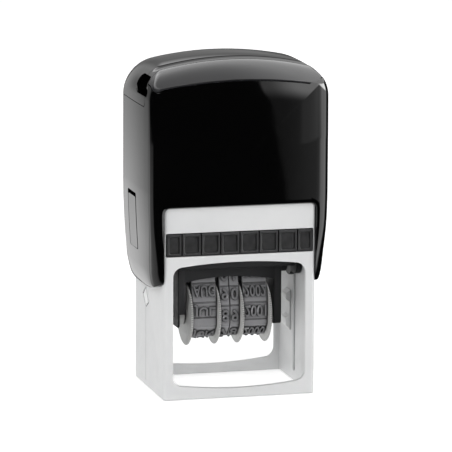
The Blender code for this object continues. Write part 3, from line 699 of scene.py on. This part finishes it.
def side_levels(fine):
    """Heights up a side wall, closer together over its lower lip."""
    steps = 2 if fine else 1
    lip = [LIP_TOP - (LIP_TOP - CAP_LOW) * sin(pi / 2 * i / (4 * steps)) for i in range(4 * steps, -1, -1)]
    return lip + spread(LIP_TOP, TUCK_TOP, 4 * steps)[1:] + spread(TUCK_TOP, SIDE_TOP, 7 * steps) + [SIDE_TOP]


def crown(x, z):
    """How far the front face lies back from its foremost plane: it is slightly domed."""
    near = clamp(1 - (roof_arch(x, BAND_FRONT, 0) - z) / 8.0)
    return 0.5 * (x / 28.7) ** 2 + 0.75 * near * near


def dome(obj):
    """Moves the front part of a cap piece back to the domed front face, and bulges the sides."""
    for vertex in obj.data.vertices:
        x, y, z = vertex.co / MM
        fade = clamp((RIDGE - y) / 12)
        vertex.co.y += crown(x, z) * fade * MM
        vertex.co.x *= 1 - SIDE_BULGE / CAP_HALF * (y / CAP_DEPTH) ** 2
    return obj


def side_bow(y, z):
    """How far a point near the lower edge of a side wall is drawn down, or up at the rear."""
    near = clamp((54 - z) / (54 - CAP_LOW))
    share = min(1.0, abs(y) / 21)
    if y < 0:
        return CAP_BOW * (1 - share ** 3) * near
    rise = 5.0 * (max(0.0, y - 15) / (CAP_DEPTH - 15)) ** 2
    return (CAP_BOW * (1 - share ** 6) - rise) * near


def closing_rings(loop, count=30):
    """Ever smaller copies of a flat loop, which give its face an even mesh."""
    centre = Vector((0.0, loop[0][1], 86.0))
    return [[tuple(centre + (Vector(point) - centre) * (1 - i / (count + 0.5)) ** 0.9)
             for point in loop] for i in range(1, count + 1)]


def cap_form(inset, fine=True):
    """The cap's outer form, or the same form set in by a wall thickness and open below."""
    bottom = CAP_LOW if inset == 0 else CAP_LOW - 2
    loops = []
    for station in stations(fine):
        y = station * (CAP_DEPTH - inset) / CAP_DEPTH
        side = []
        for z in side_levels(fine):
            x = CAP_HALF - inset - side_tuck(z) - edge_drop(y, edge_radius(y, z), inset)
            if inset > 0:
                x = max(x, FRAME_HALF + 0.4)
            level = z if z > CAP_LOW else bottom
            side.append((x, level - side_bow(y, z)))
        roof = [roof_point(angle, y, station, inset) for angle in roof_angles(0, 180, fine)]
        outline = side + roof + [(-x, z) for x, z in reversed(side)]
        loops.append([(x, y, z) for x, z in outline])
    if fine:
        loops = closing_rings(loops[0])[::-1] + loops + closing_rings(loops[-1])
    return solid(loops)


def round_corner(share):
    """How far a quarter circle has turned away, 0 where it starts and 1 at its end."""
    share = clamp(share)
    return 1 - sqrt(1 - share * share)


def window_ends(y, grow):
    """Angles on the roof between which the index window lies, grown by a clearance."""
    share = slope_share(y)
    rear_turn = round_corner(1 - share / REAR_CORNERS)
    front_turn = round_corner((share - (1 - FRONT_CORNER)) / FRONT_CORNER)
    right = BAND_RIGHT + 8 * rear_turn + BAND_RIGHT_TURN * front_turn
    left = BAND_LEFT + 9 * rear_turn - BAND_LEFT_TIP * share ** 4
    return right - grow, 180 - left + grow


def tapered(y, depth):
    """A depth under the roof that thins out towards the window's front edge."""
    return depth * (0.22 + 0.78 * clamp((y - BAND_FRONT) / 1.4))


def roof_patch(ends, y0, y1, outer, inner, steps=40, count=80):
    """A sheet that follows the roof between two insets and two places from front to rear."""
    loops = []
    for i in range(steps + 1):
        y = y0 + (y1 - y0) * i / steps
        first, last = ends(y)
        angles = spread(first, last, count) + [last]
        upper = [roof_point(angle, y, y, outer) for angle in angles]
        lower = [roof_point(angle, y, y, tapered(y, inner)) for angle in reversed(angles)]
        loops.append([(x, y, z) for x, z in upper + lower])
    return solid(loops)


def cover_region(clear):
    """Side view of the rear cover's space, grown by a clearance, as a solid across the cap."""
    low = COVER_SEAM - clear
    front = -13.6 - clear
    top_front = COVER_FRONT - clear
    outline = [(30, low), (30, 130), (top_front, 130), (top_front, 113), (front, 109.5)]
    outline += arc(front + 2.5, low + 2.5, 2.5, 180, 270, 10)
    return prism(outline, "X", -40, 40)


def scoops():
    """Cutters for the two finger scoops, which leave a thin lip at their lower edges."""
    outline = arc(0.2 - SCOOP_RADIUS, 112.3, SCOOP_RADIUS, -90, 90, 24)
    outline += arc(-11.2, 114.3, 1.4, 90, 165, 8) + [(-12.6, 113.2)]
    outline += arc(-15.0, 110.3, 1.4, 150, 270, 8)
    wide = []
    for y, z in outline:
        share = clamp((112.3 - z) / SCOOP_RADIUS)
        wide.append((y + 1.0 * share, z - 1.6 * share))
    sections = ((24.5, wide), (32.5, wide), (32.6, outline), (36, outline))
    return [swept([(side * x, points) for x, points in sections], "X") for side in (-1, 1)]


def notch_outline(grow):
    """The cap's notch over the frame, open below."""
    return rounded_box(-NOTCH_HALF - grow, NOTCH_HALF + grow, 30, NOTCH_TOP + grow, 2.0 + grow, 10)


def make_cap_shell():
    shell = cap_form(0)
    cavity = keep(cap_form(CAP_WALL, fine=False), box(-40, 40, -40, 40, CAP_LOW - 9, 109.3))
    upper = keep(cap_form(3.6, fine=False), box(-40, 40, -40, 40, 100, 130))
    cut(shell, join(cavity, upper))

    # recesses for the rear cover and for the index window with its card
    rind = cut(cap_form(-1.5, fine=False), cap_form(1.2, fine=False))
    cut(shell, keep(rind, cover_region(0.25)))
    cut(shell, roof_patch(lambda y: window_ends(y, 2.0), BAND_FRONT - 1, BAND_REAR + 0.05, -3, 2.3))

    for end in (-1, 1):
        cut(shell, flared(notch_outline, end * CAP_DEPTH, end, NOTCH_LIP, 12))
    for side in (-1, 1):
        slot = rounded_box(TAB_FRONT, TAB_REAR, TAB_FOOT, TAB_SLOT_TOP, 1.0, 6)
        cut(shell, prism(slot, "X", *across(side, 25, 40)))
        join(shell, rod("Z", side * 22.5, 0, 2.0, YOKE_BRIDGE + 2.5 + GAP, 116.5, 24))
    cut(shell, *scoops())
    show(dome(shell), "cap_shell", "cap", "cap_plastic", 32)


def make_rear_cover():
    cover = cut(cap_form(0), cap_form(0.9, fine=False))
    keep(cover, cover_region(0))
    cut(cover, *scoops())
    show(dome(cover), "rear_cover", "cap", "cap_plastic", 32)


def make_index_window():
    window = roof_patch(lambda y: window_ends(y, 0), BAND_FRONT + 0.1, BAND_REAR - 0.2, 0.0, 1.4)
    show(dome(window), "index_window", "window", "window_plastic", 40)
    card = roof_patch(lambda y: (62, 136), BAND_FRONT + 1.6, BAND_REAR - 0.9, 1.65, 1.95)
    show(dome(card), "index_card", "cap", "card", 40)


def make_lock_tab(side, label):
    """A springy tongue with a catch on its inner face, free above its foot."""
    front = TAB_FRONT + 1.0
    rear = TAB_REAR - 1.0
    outline = rounded_box(front, rear, TAB_FOOT + 0.15, TAB_TIP, 0.9, 8)
    tongue = prism(outline, "X", *across(side, CAP_HALF - 3.5, CAP_HALF + 1))
    keep(tongue, cut(cap_form(0), cap_form(1.9, fine=False)))
    catch = rounded_box(front + 2.5, rear - 2.5, 66, 68.8, 0.5, 3)
    join(tongue, prism(catch, "X", *across(side, CAP_HALF - 3.1, CAP_HALF - 1.5)))
    show(tongue, "lock_tab_" + label, "lock_" + label, "cap_plastic", 32)


# -------- base frame and ink pad

def cam_block(side):
    """The raised flip cam on an inner wall: two bulges with a hollow between them."""
    wall = FRAME_HALF - FRAME_WALL
    profile = [(wall + 0.4, 17.8), (wall - 0.2, 18.0)]
    profile += arc(wall - 0.9, 20.2, 0.9, 250, 180, 6)
    profile += arc(wall - 0.9, 22.2, 0.9, 180, 110, 6)
    profile += [(wall - 0.5, 23.6), (wall - 0.35, 26), (wall - 0.5, 28.4)]
    profile += arc(wall - 0.9, 29.9, 0.9, 250, 180, 6)
    profile += arc(wall - 0.9, 31.2, 0.9, 180, 110, 6)
    profile += [(wall - 0.2, 32.8), (wall + 0.4, 33.0)]
    return prism([(side * x, z) for x, z in profile], "Y", 4.7, 10.6)


def gate_groove(side):
    """The fine cam line on the outside of a side wall, which parts round a diamond."""
    width = 0.28
    centre_y, centre_z = 5.0, 32.7
    corners = ((5.0, 36.6), (9.2, 33.4), (5.0, 29.2), (0.8, 31.6))

    def diamond(scale):
        return [(centre_y + (y - centre_y) * scale, centre_z + (z - centre_z) * scale)
                for y, z in corners]

    low, high = across(side, FRAME_HALF - 0.5, FRAME_HALF + 0.5)
    ring = cut(prism(diamond(1.12), "X", low, high), prism(diamond(0.86), "X", low - 1, high + 1))
    y0, y1 = centre_y - width, centre_y + width
    return [ring, box(low, high, y0, y1, 36.3, 40.8), box(low, high, y0, y1, 2.2, 29.5)]


def pivot_groove(side):
    """The upright groove in an inner wall that guides a pivot pin's end."""
    wall = FRAME_HALF - FRAME_WALL
    outline = arc(0, 5.3, 1.7, 180, 360, 16) + [(1.7, 80), (-1.7, 80)]
    return prism(outline, "X", *across(side, wall - 0.5, wall + 0.75))


def make_base_frame():
    wall = FRAME_HALF - FRAME_WALL
    depth = FRAME_DEPTH - FRAME_WALL
    body = plate(FRAME_HALF, FRAME_DEPTH, 1.2, 0, FRAME_TOP, 0.35)
    sections = [(z, rounded_box(-wall - grow, wall + grow, -depth - grow, depth + grow, 0.5 + grow, 4))
                for z, grow in ((-1, 0.3), (0, 0.3), (0.12, 0.12), (0.35, 0), (FRAME_TOP + 1, 0))]
    cut(body, swept(sections, "Z"))

    # deck over the ink pad, with openings for the yoke arms and pegs that centre the springs
    deck = box(-wall - 0.5, wall + 0.5, -depth - 0.5, depth + 0.5, DECK_LOW, DECK_HIGH)
    for side in (-1, 1):
        cut(deck, box(*across(side, YOKE_IN - GAP, wall + 1), YOKE_FRONT - GAP, YOKE_REAR + GAP, 50, 70))
        join(deck, slab(circle(side * SPRING_X, 0, 3.9), "Z", DECK_HIGH - 0.5, DECK_HIGH + 5.5, 0.5))
    join(body, deck)

    # ledges that carry the ink pad drawer, in front of and behind the yoke arms
    for side in (-1, 1):
        low, high = across(side, PLATE_HALF + 0.25, wall + 0.5)
        for y0, y1 in ((-depth - 0.5, YOKE_FRONT - 0.6), (YOKE_REAR + 0.6, depth + 0.5)):
            join(body, box(low, high, y0, y1, PAD_LOW - 1.5, PAD_LOW - GAP))
        join(body, cam_block(side))

    for end in (-1, 1):
        cut(body, flared(window_outline, end * FRAME_DEPTH, end, 0.45, 12))

    def pad_opening(half):
        def outline(grow):
            reach = half + grow * 0.5
            return rounded_box(-reach, reach, PAD_LOW - 0.25 - grow * 0.5,
                               PAD_HIGH + 0.25 + grow * 0.5, 0.5, 4)
        return outline

    cut(body, flared(pad_opening(PAD_FRONT_HALF + 0.2), -FRAME_DEPTH, -1, 0.3, FRAME_WALL + 0.1))
    cut(body, flared(pad_opening(PAD_HALF + GAP), FRAME_DEPTH, 1, 0.3, FRAME_WALL + 0.1))
    for side in (-1, 1):
        cut(body, pivot_groove(side), *gate_groove(side))
    show(body, "base_frame", "frame", "frame_plastic")


def grip_cutters(y_face, outward, half):
    """Shallow finger cells and the grooves between them, on one end of the drawer."""
    tools = []
    cells = round(half / PAD_CELL)
    for index in range(-cells, cells):
        x0 = max(-half, index * PAD_CELL)
        x1 = min(half, (index + 1) * PAD_CELL)

        def cell(grow):
            return rounded_box(x0 + 1.1 - grow, x1 - 1.0 + grow, PAD_LOW + 0.9 - grow,
                               PAD_HIGH - 1.1 + grow, 0.6 + grow, 4)

        tools.append(flared(cell, y_face, outward, 0.3, 0.5, 3))
        if index > -cells:
            y0, y1 = sorted((y_face - outward * 0.7, y_face + outward))
            tools.append(box(x0 - 0.22, x0 + 0.22, y0, y1, PAD_LOW - 1, PAD_HIGH + 1))
    return tools


def make_ink_pad():
    inner = FRAME_DEPTH - FRAME_WALL
    tray = soft_box(-PAD_HALF, PAD_HALF, -inner - 0.6, FRAME_DEPTH, PAD_LOW, PAD_HIGH)
    front = slab(rounded_box(-PAD_FRONT_HALF, PAD_FRONT_HALF, PAD_LOW, PAD_HIGH, 0.4, 4),
                 "Y", -FRAME_DEPTH, -inner - 0.2, 0.25)
    join(tray, front)
    cut(tray, box(-PAD_HALF + 1.3, PAD_HALF - 1.3, -inner + 1.0, inner - 0.4,
                  PAD_LOW - 1, PAD_HIGH - 1.4))
    cut(tray, *grip_cutters(-FRAME_DEPTH, -1, PAD_FRONT_HALF))
    cut(tray, *grip_cutters(FRAME_DEPTH, 1, 3 * PAD_CELL + 1.5))
    show(tray, "ink_pad_tray", "ink_pad", "pad_plastic")

    foam = slab(rounded_box(-PAD_HALF + 1.6, PAD_HALF - 1.6, -inner + 1.3, inner - 0.7, 1.5),
                "Z", PAD_LOW + 0.05, PAD_HIGH - 1.7, 0.6)
    show(foam, "ink_pad_foam", "ink_pad", "foam")


# -------- yoke and springs

def make_yoke():
    """Bridge under the cap's roof with two long arms and two spring cups."""
    radius = (YOKE_REAR - YOKE_FRONT) / 2 - 0.4
    centre = (YOKE_FRONT + YOKE_REAR) / 2
    shoe_front, shoe_foot, shoe_top = YOKE_SHOE
    yoke = soft_box(-YOKE_OUT, YOKE_OUT, YOKE_FRONT, YOKE_REAR, YOKE_BRIDGE, YOKE_BRIDGE + 2.5)
    foot = arc(centre, YOKE_LOW + radius, radius, 180, 360, 20)
    outline = [(YOKE_REAR, YOKE_LOW + radius + 1), (YOKE_REAR, YOKE_BRIDGE + 1),
               (YOKE_FRONT, YOKE_BRIDGE + 1), (YOKE_FRONT, YOKE_LOW + radius + 1)]
    for side in (-1, 1):
        low, high = across(side, YOKE_IN, YOKE_OUT)
        join(yoke, slab(foot + outline, "X", low, high, 0.3))
        shoe = rounded_box(shoe_front, YOKE_REAR - 1, shoe_foot, shoe_top, 4.0)
        join(yoke, slab(shoe, "X", low, high, 0.3))
        join(yoke, rod("Z", side * SPRING_X, 0, 7.2, YOKE_BRIDGE - 3, 114.2))
    for side in (-1, 1):
        cut(yoke, rod("Z", side * SPRING_X, 0, 6.1, YOKE_BRIDGE - 6, 112.7))
        cut(yoke, rod("X", 0, PIVOT_Z, PIN_RADIUS + GAP, side * 27.05 - 4, side * 27.05 + 4))
    show(yoke, "drive_yoke", "cap", "inner_plastic")


def make_spring(side, label):
    """Compression spring with closed end turns, in one fixed shape; the real one shortens with the cap's
    stroke.
    """
    low = spring_low.z + SPRING_WIRE
    high = spring_high.z - SPRING_WIRE
    per_turn = 24
    closing = 2.2 * SPRING_WIRE
    loops = []
    for i in range(SPRING_TURNS * per_turn + 1):
        turn = i / per_turn
        share = clamp((turn - 0.9) / (SPRING_TURNS - 1.8))
        closed = closing * (min(turn, 0.9) + max(0.0, turn - SPRING_TURNS + 0.9))
        z = low + closed + (high - low - closing * 1.8) * share
        angle = 2 * pi * turn
        ring = []
        for k in range(10):
            around = 2 * pi * k / 10
            reach = SPRING_RADIUS + SPRING_WIRE * cos(around)
            ring.append((side * SPRING_X + reach * cos(angle), reach * sin(angle),
                         z + SPRING_WIRE * sin(around)))
        loops.append(ring)
    spring = show(solid(loops), "return_spring_" + label, "frame", "steel", 60)
    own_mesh(spring)


# -------- carriage

def make_plates():
    """Die plate with its pivot lugs, and the rubber plate on it."""
    die = plate(PLATE_HALF, PLATE_DEPTH, 1.6, PLATE_LOW, PLATE_HIGH, 0.35)
    for side in (-1, 1):
        lug = arc(0, PIVOT_Z, 3.4, 180, 360, 20) + [(3.4, PLATE_LOW + 0.5), (-3.4, PLATE_LOW + 0.5)]
        join(die, slab(lug, "X", *across(side, 20.4, PLATE_HALF), 0.25))
    for side in (-1, 1):
        cut(die, rod("X", 0, PIVOT_Z, PIN_RADIUS + GAP, side * 22.5 - 1.6, side * 22.5 + 1.6))
    cut(die, box(-16.2, 16.2, -5.8, 5.8, 40, 60))
    show(die, "die_plate", "carriage", "inner_plastic")

    text = plate(TEXT_HALF, TEXT_DEPTH, 0.8, PLATE_HIGH + GAP, PRINT_Z - 0.9, 0.15)
    rim = plate(TEXT_HALF - 0.5, TEXT_DEPTH - 0.5, 0.5, PRINT_Z - 1.2, PRINT_Z, 0.1)
    cut(rim, prism(rounded_box(-TEXT_HALF + 1.3, TEXT_HALF - 1.3, -TEXT_DEPTH + 1.3,
                               TEXT_DEPTH - 1.3, 0.3, 4), "Z", 40, 60))
    join(text, rim)
    for y, half in ((-11.3, 15), (-7.8, 18), (7.8, 18), (11.3, 12)):
        join(text, soft_box(-half, half, y - 1.0, y + 1.0, PRINT_Z - 1.2, PRINT_Z, 0.5, 0.12))
    cut(text, box(-15.2, 15.2, -5.1, 5.1, 40, 60))
    show(text, "text_plate", "carriage", "text_rubber")


def make_date_unit_frame():
    """Two arms that hold the wheel axle, tied by an arched wall in front and behind."""
    top = PLATE_LOW - GAP
    corner = 1.5
    outline = arc(-ARM_DEPTH + corner, ARM_FOOT + corner, corner, 180, 270, 6)
    outline += arc(ARM_DEPTH - corner, ARM_FOOT + corner, corner, 270, 360, 6)
    outline += [(ARM_DEPTH, top), (-ARM_DEPTH, top)]
    unit = slab(outline, "X", ARM_IN, ARM_OUT, 0.3)
    opposite = slab(outline, "X", -ARM_OUT, -ARM_IN, 0.3)
    arch = []
    for i in range(31):
        x = -ARM_IN - 0.5 + (2 * ARM_IN + 1) * i / 30
        arch.append((x, 41.6 - 1.6 * (x / ARM_IN) ** 2))
    arch += [(ARM_IN + 0.5, top), (-ARM_IN - 0.5, top)]
    for y0, y1 in ((-ARM_DEPTH, -ARM_DEPTH + 0.8), (ARM_DEPTH - 0.8, ARM_DEPTH)):
        join(unit, slab(arch, "Y", y0, y1, 0.2))
    join(unit, opposite)

    # a pocket for each bush; the left one opens forwards, so that the axle snaps in
    for side in (-1, 1):
        cut(unit, rod("X", 0, AXLE_Z, BUSH_RADIUS + GAP, *across(side, ARM_IN - 1, BUSH_OUT + GAP)))
    cut(unit, box(-BUSH_OUT - GAP, -ARM_IN + 1, -ARM_DEPTH - 1, 0.5, ARM_FOOT - 1, 28.2))
    cut(unit, rod("X", 0, AXLE_Z, PIN_RADIUS + GAP, -30, 30))
    show(unit, "date_unit_frame", "carriage", "inner_plastic")


def make_band_nose():
    top = PRINT_Z - TYPE_HEIGHT - BAND_THICK - GAP
    outline = [(-4.3, 39.2), (4.3, 39.2), (NOSE_HALF + 0.1, top - 1.2)]
    outline += arc(NOSE_HALF - 0.7, top - 0.8, 0.8, 20, 90, 5)
    outline += [(-y, z) for y, z in reversed(outline[3:])] + [(-NOSE_HALF - 0.1, top - 1.2)]
    nose = slab(outline, "X", -14.8, 14.8, 0.2)
    join(nose, soft_box(-16.0, 16.0, -3, 3, 40, 44.5))
    show(nose, "band_nose", "carriage", "inner_plastic")


def band_path(shoulder):
    """Inner path of a date band: over the nose, and round the lower facets of an octagon."""
    top = PRINT_Z - TYPE_HEIGHT - BAND_THICK
    facet = BAND_INNER * sin(pi / 8) / cos(pi / 8)
    right = [(facet, AXLE_Z - BAND_INNER), (BAND_INNER, AXLE_Z - facet),
             (BAND_INNER, shoulder), (NOSE_HALF + GAP, top - 1.6), (NOSE_HALF - 0.3, top)]
    return mirrored(right)


def band_pads(start, end, label):
    """Pads along one straight stretch of a band: (middle, length, type's shift or None)."""
    length = (Vector(end) - Vector(start)).length
    if length > 12:
        pads = [(3.5, 6.6, 0.6), (10.5, 6.6, 0.6)]
    elif abs(end[0] - start[0]) < 0.1:
        size = 5.5 if label == "month" else 6.2 if label == "year" else length
        pads = [(length - size / 2, size - 0.4, 0.0)]
        if length - size > 1.5:
            pads.append(((length - size) / 2, length - size - 0.3, None))
    else:
        pads = [(length / 2, length - 0.5, 0.0)]
    if end[1] < start[1]:
        pads = [(length - middle, size, shift and -shift) for middle, size, shift in pads]
    return pads


def type_block(text, width, depth):
    """Raised characters in the local frame of a row: x across, y up, z out of the band."""
    curve = bpy.data.curves.new("type", "FONT")
    settings = {"body": text, "size": 5.5, "align_x": "CENTER", "align_y": "CENTER", "resolution_u": 3,
                "offset": 0.03, "extrude": depth / 2, "bevel_depth": 0.08, "bevel_resolution": 1}
    for key, value in settings.items():
        setattr(curve, key, value)
    obj = add_object("type", curve)
    mesh = evaluated_mesh(obj)
    bpy.data.objects.remove(obj)
    xs = [vertex.co.x for vertex in mesh.vertices]
    ys = [vertex.co.y for vertex in mesh.vertices]
    middle = Vector(((min(xs) + max(xs)) / 2, (min(ys) + max(ys)) / 2, 0))
    squeeze = Matrix.Diagonal((min(1.0, width / (max(xs) - min(xs))), 4.2 / (max(ys) - min(ys)), 1, 1))
    mesh.transform(squeeze @ Matrix.Translation(-middle))
    bm = bmesh.new()
    bm.from_mesh(mesh)
    bmesh.ops.remove_doubles(bm, verts=bm.verts, dist=0.001)
    bm.to_mesh(mesh)
    bm.free()
    return mesh


MONTHS = ("JAN", "FEB", "MAR", "APR", "MAY", "JUN", "JUL", "AUG", "SEP", "OCT", "NOV", "DEC")


def row_text(label, index):
    """What stands on a row, counted upwards from the foot of the front strand."""
    if label == "month":
        return MONTHS[(4 + index) % 12]
    if label == "year":
        return str(1999 + index)
    start = 6 if label == "day_tens" else 7
    return str((start + index) % 10)


def make_band(label, span, shoulder):
    """Endless rubber band with a pad for each row and raised, mirrored type on the pads."""
    inner = band_path(shoulder)
    base = offset_path(inner, BAND_THICK)
    outline = []
    rows = []
    count = len(base)
    for i in range(count):
        start, end = base[i], base[(i + 1) % count]
        outline.append(start)
        a = Vector(start)
        along = Vector(end) - a
        length = along.length
        if length < 3:
            continue
        along.normalize()
        out = Vector((along.y, -along.x))
        for middle, size, shift in sorted(band_pads(start, end, label)):
            low = a + along * (middle - size / 2)
            high = a + along * (middle + size / 2)
            slope = along * 0.15
            outline += [tuple(low), tuple(low + slope + out * PAD_STEP),
                        tuple(high - slope + out * PAD_STEP), tuple(high)]
            if shift is not None and size > 3:
                rows.append((a + along * (middle + shift) + out * PAD_STEP, along.copy(), out.copy()))
    band = slab(outline, "X", span[0], span[1], 0.12, 2)
    cut(band, prism(inner, "X", span[0] - 1, span[1] + 1))
    depth = TYPE_HEIGHT - PAD_STEP
    width = span[1] - span[0] - 0.7
    centre_x = (span[0] + span[1]) / 2
    front_start = len(rows) - 1
    meshes = []
    for index, (point, along, out) in enumerate(rows):
        mesh = type_block(row_text(label, front_start - index), width, depth + 0.1)
        lift = depth / 2 - 0.1
        mesh.transform(Matrix(((1, 0, 0, centre_x), (0, along.x, out.x, point.x + out.x * lift),
                               (0, along.y, out.y, point.y + out.y * lift), (0, 0, 0, 1))))
        mesh.transform(Matrix.Scale(MM, 4))
        meshes.append(mesh)
    bm = bmesh.new()
    bm.from_mesh(band.data)
    for mesh in meshes:
        bm.from_mesh(mesh)
    bmesh.ops.recalc_face_normals(bm, faces=bm.faces)
    bm.to_mesh(band.data)
    bm.free()
    show(band, label + "_band", "carriage", "band_rubber", 30)


def make_wheel(label, wheel_x, span):
    """Setting wheel: a thin knurled disc, and the hub that drives its band."""
    half = WHEEL_THICK / 2
    bore = PIN_RADIUS + GAP
    rim = [(WHEEL_RADIUS - inset, half - low) for inset, low in
           ((2.2, 0), (1.9, 0.12), (0.5, 0.12), (0.12, 0.25), (0, 0.42))]
    profile = [(bore, -half)] + [(radius, -x) for radius, x in rim] + rim[::-1] + [(bore, half)]
    wheel = turned([(radius, wheel_x + x) for radius, x in profile], AXLE_Z, WHEEL_TEETH * 6, 0.5)
    low, high = (wheel_x, span[1]) if wheel_x < sum(span) / 2 else (span[0], wheel_x)
    hub = turned([(bore, low), (HUB_RADIUS, low), (HUB_RADIUS, high - 0.2),
                  (HUB_RADIUS - 0.2, high), (bore, high)], AXLE_Z, 72)
    join(wheel, hub)
    show(wheel, label + "_wheel", label + "_setting", "wheel_plastic", 28)


def make_axle_parts():
    axle = slab(circle(0, AXLE_Z, PIN_RADIUS), "X", axle_low.x, axle_high.x, 0.25)
    show(axle, "wheel_axle", "carriage", "steel")
    bore = PIN_RADIUS + GAP
    for side, label in SIDES:
        low, high = limits("axle_bush_" + label)
        edge = BUSH_RADIUS - 0.25
        bush = turned([(bore, low.x), (edge, low.x), (BUSH_RADIUS, low.x + 0.25),
                       (BUSH_RADIUS, high.x - 0.25), (edge, high.x), (bore, high.x)], AXLE_Z, 48)
        show(bush, "axle_bush_" + label, "carriage", "wheel_plastic")
        low, high = limits("pivot_pin_" + label)
        pin = slab(circle(0, PIVOT_Z, PIN_RADIUS), "X", low.x, high.x, 0.25)
        show(pin, "pivot_pin_" + label, "carriage", "steel", finish="burnished_steel")


# -------- studio

TARGET = Vector((0.543, 0.0, 58.52)) * MM
CAMERA_POSE = (-14.945, 10.429, 1.48445, 0.301)  # azimuth, elevation, distance and roll
CAMERA_LENS = 327.2
# name, azimuth, elevation, distance and power of each softbox
LAMPS = (("key", -38, 32, 0.9, 2.7), ("fill", 35, 20, 1.0, 1.4),
         ("back_left", -130, 35, 1.0, 1.6), ("back_right", 140, 35, 1.0, 1.6))


def aimed(azimuth, elevation, distance, roll=0.0):
    """A pose that looks at the stamp's middle, from angles in degrees and a distance in metres."""
    turn = (Matrix.Rotation(radians(azimuth), 4, "Z") @ Matrix.Rotation(radians(90 - elevation), 4, "X")
            @ Matrix.Rotation(radians(roll), 4, "Z"))
    return Matrix.Translation(TARGET) @ turn @ Matrix.Translation((0, 0, distance))


def make_camera():
    camera = bpy.data.cameras.new("camera")
    camera.lens = CAMERA_LENS
    camera.sensor_width = 36.0
    camera.clip_start = 0.05
    obj = add_object("camera", camera)
    obj.matrix_world = aimed(*CAMERA_POSE)
    bpy.context.scene.camera = obj


def softbox(name, azimuth, elevation, distance, power):
    """Square area light aimed at the stamp, unseen in reflections."""
    light = bpy.data.lights.new(name, "AREA")
    light.size = 0.7
    light.energy = power
    obj = add_object(name, light)
    obj.matrix_world = aimed(azimuth, elevation, distance)
    obj.visible_glossy = False


def make_world():
    """White for the camera; a studio of soft panels and dark flags for light and reflections."""
    world = bpy.data.worlds.new("studio")
    bpy.context.scene.world = world
    world.use_nodes = True
    tree = world.node_tree
    tree.nodes.clear()

    def feed(socket, value):
        if isinstance(value, (int, float)):
            socket.default_value = value
        else:
            tree.links.new(value, socket)

    def math(operation, a, b):
        made = tree.nodes.new("ShaderNodeMath")
        made.operation = operation
        feed(made.inputs[0], a)
        feed(made.inputs[1], b)
        return made.outputs["Value"]

    def step(value, low, high):
        made = tree.nodes.new("ShaderNodeMapRange")
        made.interpolation_type = "SMOOTHSTEP"
        for key, number in (("Value", value), ("From Min", low), ("From Max", high)):
            feed(made.inputs[key], number)
        return made.outputs["Result"]

    def product(*factors):
        return reduce(lambda a, b: math("MULTIPLY", a, b), factors)

    def total(*parts):
        return reduce(lambda a, b: math("ADD", a, b), parts)

    def ramp(base, *rises):
        return total(base, *[product(amount, step(value, low, high)) for amount, value, low, high in rises])

    coordinates = tree.nodes.new("ShaderNodeTexCoord")
    split = tree.nodes.new("ShaderNodeSeparateXYZ")
    tree.links.new(coordinates.outputs["Generated"], split.inputs["Vector"])
    x, y, z = split.outputs
    behind = product(ramp(0.40, (0.8, x, -0.33, -0.18)),
                     ramp(0.55, (0.5, z, -0.145, -0.185), (0.1, z, -0.185, -0.24)),
                     step(y, 0.6, 0.85), step(x, 0.05, -0.1))
    behind_right = product(0.32, step(y, 0.35, 0.75), step(x, -0.1, 0.05), step(x, 0.5, 0.36),
                           step(z, -0.05, 0.1))
    overhead = product(2.6, step(z, 0.25, 0.6), ramp(1.0, (-0.6, z, 0.84, 0.985)))
    slanted = total(x, product(0.7, math("MINIMUM", z, -0.15)))
    right_panel = product(ramp(0.14, (0.35, x, 0.30, 0.36), (1.8, x, 0.36, 0.75)),
                          ramp(1.0, (5.0, z, -0.12, 0.1)),
                          step(slanted, 0.1825, 0.1885), step(y, 0.2, -0.1), step(z, 0.5, 0.3))
    left_side = product(0.7, step(x, -0.3, -0.5), step(y, -0.1, 0.1), step(z, -0.145, -0.18))
    reflected = total(behind, behind_right, overhead, right_panel, left_side, 0.008)

    def background(strength):
        made = tree.nodes.new("ShaderNodeBackground")
        made.inputs["Color"].default_value = (1, 1, 1, 1)
        feed(made.inputs["Strength"], strength)
        return made.outputs["Background"]

    def choose(share, no, yes):
        made = tree.nodes.new("ShaderNodeMixShader")
        for socket, source in zip(made.inputs, (share, no, yes)):
            tree.links.new(source, socket)
        return made.outputs["Shader"]

    path = tree.nodes.new("ShaderNodeLightPath").outputs
    soft = ramp(0.16, (0.22, z, 0.0, 1.0))
    lit = choose(path["Is Glossy Ray"], background(soft), background(reflected))
    output = tree.nodes.new("ShaderNodeOutputWorld")
    tree.links.new(choose(path["Is Camera Ray"], lit, background(1.0)), output.inputs["Surface"])


def make_floor():
    """Pale sweep under the stamp, bright enough to melt into the background."""
    mesh = bpy.data.meshes.new("floor")
    corners = [(side * x, side * 1.6, -0.0002) for side in (-1, 1) for x in (1.6, -1.6)]
    mesh.from_pydata(corners, [], [(0, 1, 2, 3)])
    floor = add_object("floor", mesh)
    made = Finish("floor_paper", 0.9)
    made.color(made.mix(made.noise(8, 2.0), (0.78, 0.78, 0.78), (0.82, 0.82, 0.82)))
    made.shader.inputs["Emission Color"].default_value = (1, 1, 1, 1)
    made.shader.inputs["Emission Strength"].default_value = 0.6
    mesh.materials.append(made.material)
    floor.visible_glossy = False


def build():
    make_cap_shell()
    make_rear_cover()
    make_index_window()
    for side, label in SIDES:
        make_lock_tab(side, label)
        make_spring(side, label)
    make_base_frame()
    make_ink_pad()
    make_yoke()
    make_plates()
    make_date_unit_frame()
    make_band_nose()
    for label, wheel_x, span, shoulder in zip(BAND_NAMES, WHEEL_X, BAND_SPANS, BAND_SHOULDERS):
        make_band(label, span, shoulder)
        make_wheel(label, wheel_x, span)
    make_axle_parts()


make_camera()
build()
make_world()
for lamp in LAMPS:
    softbox(*lamp)
make_floor()
bpy.context.scene.view_settings.view_transform = "Standard"
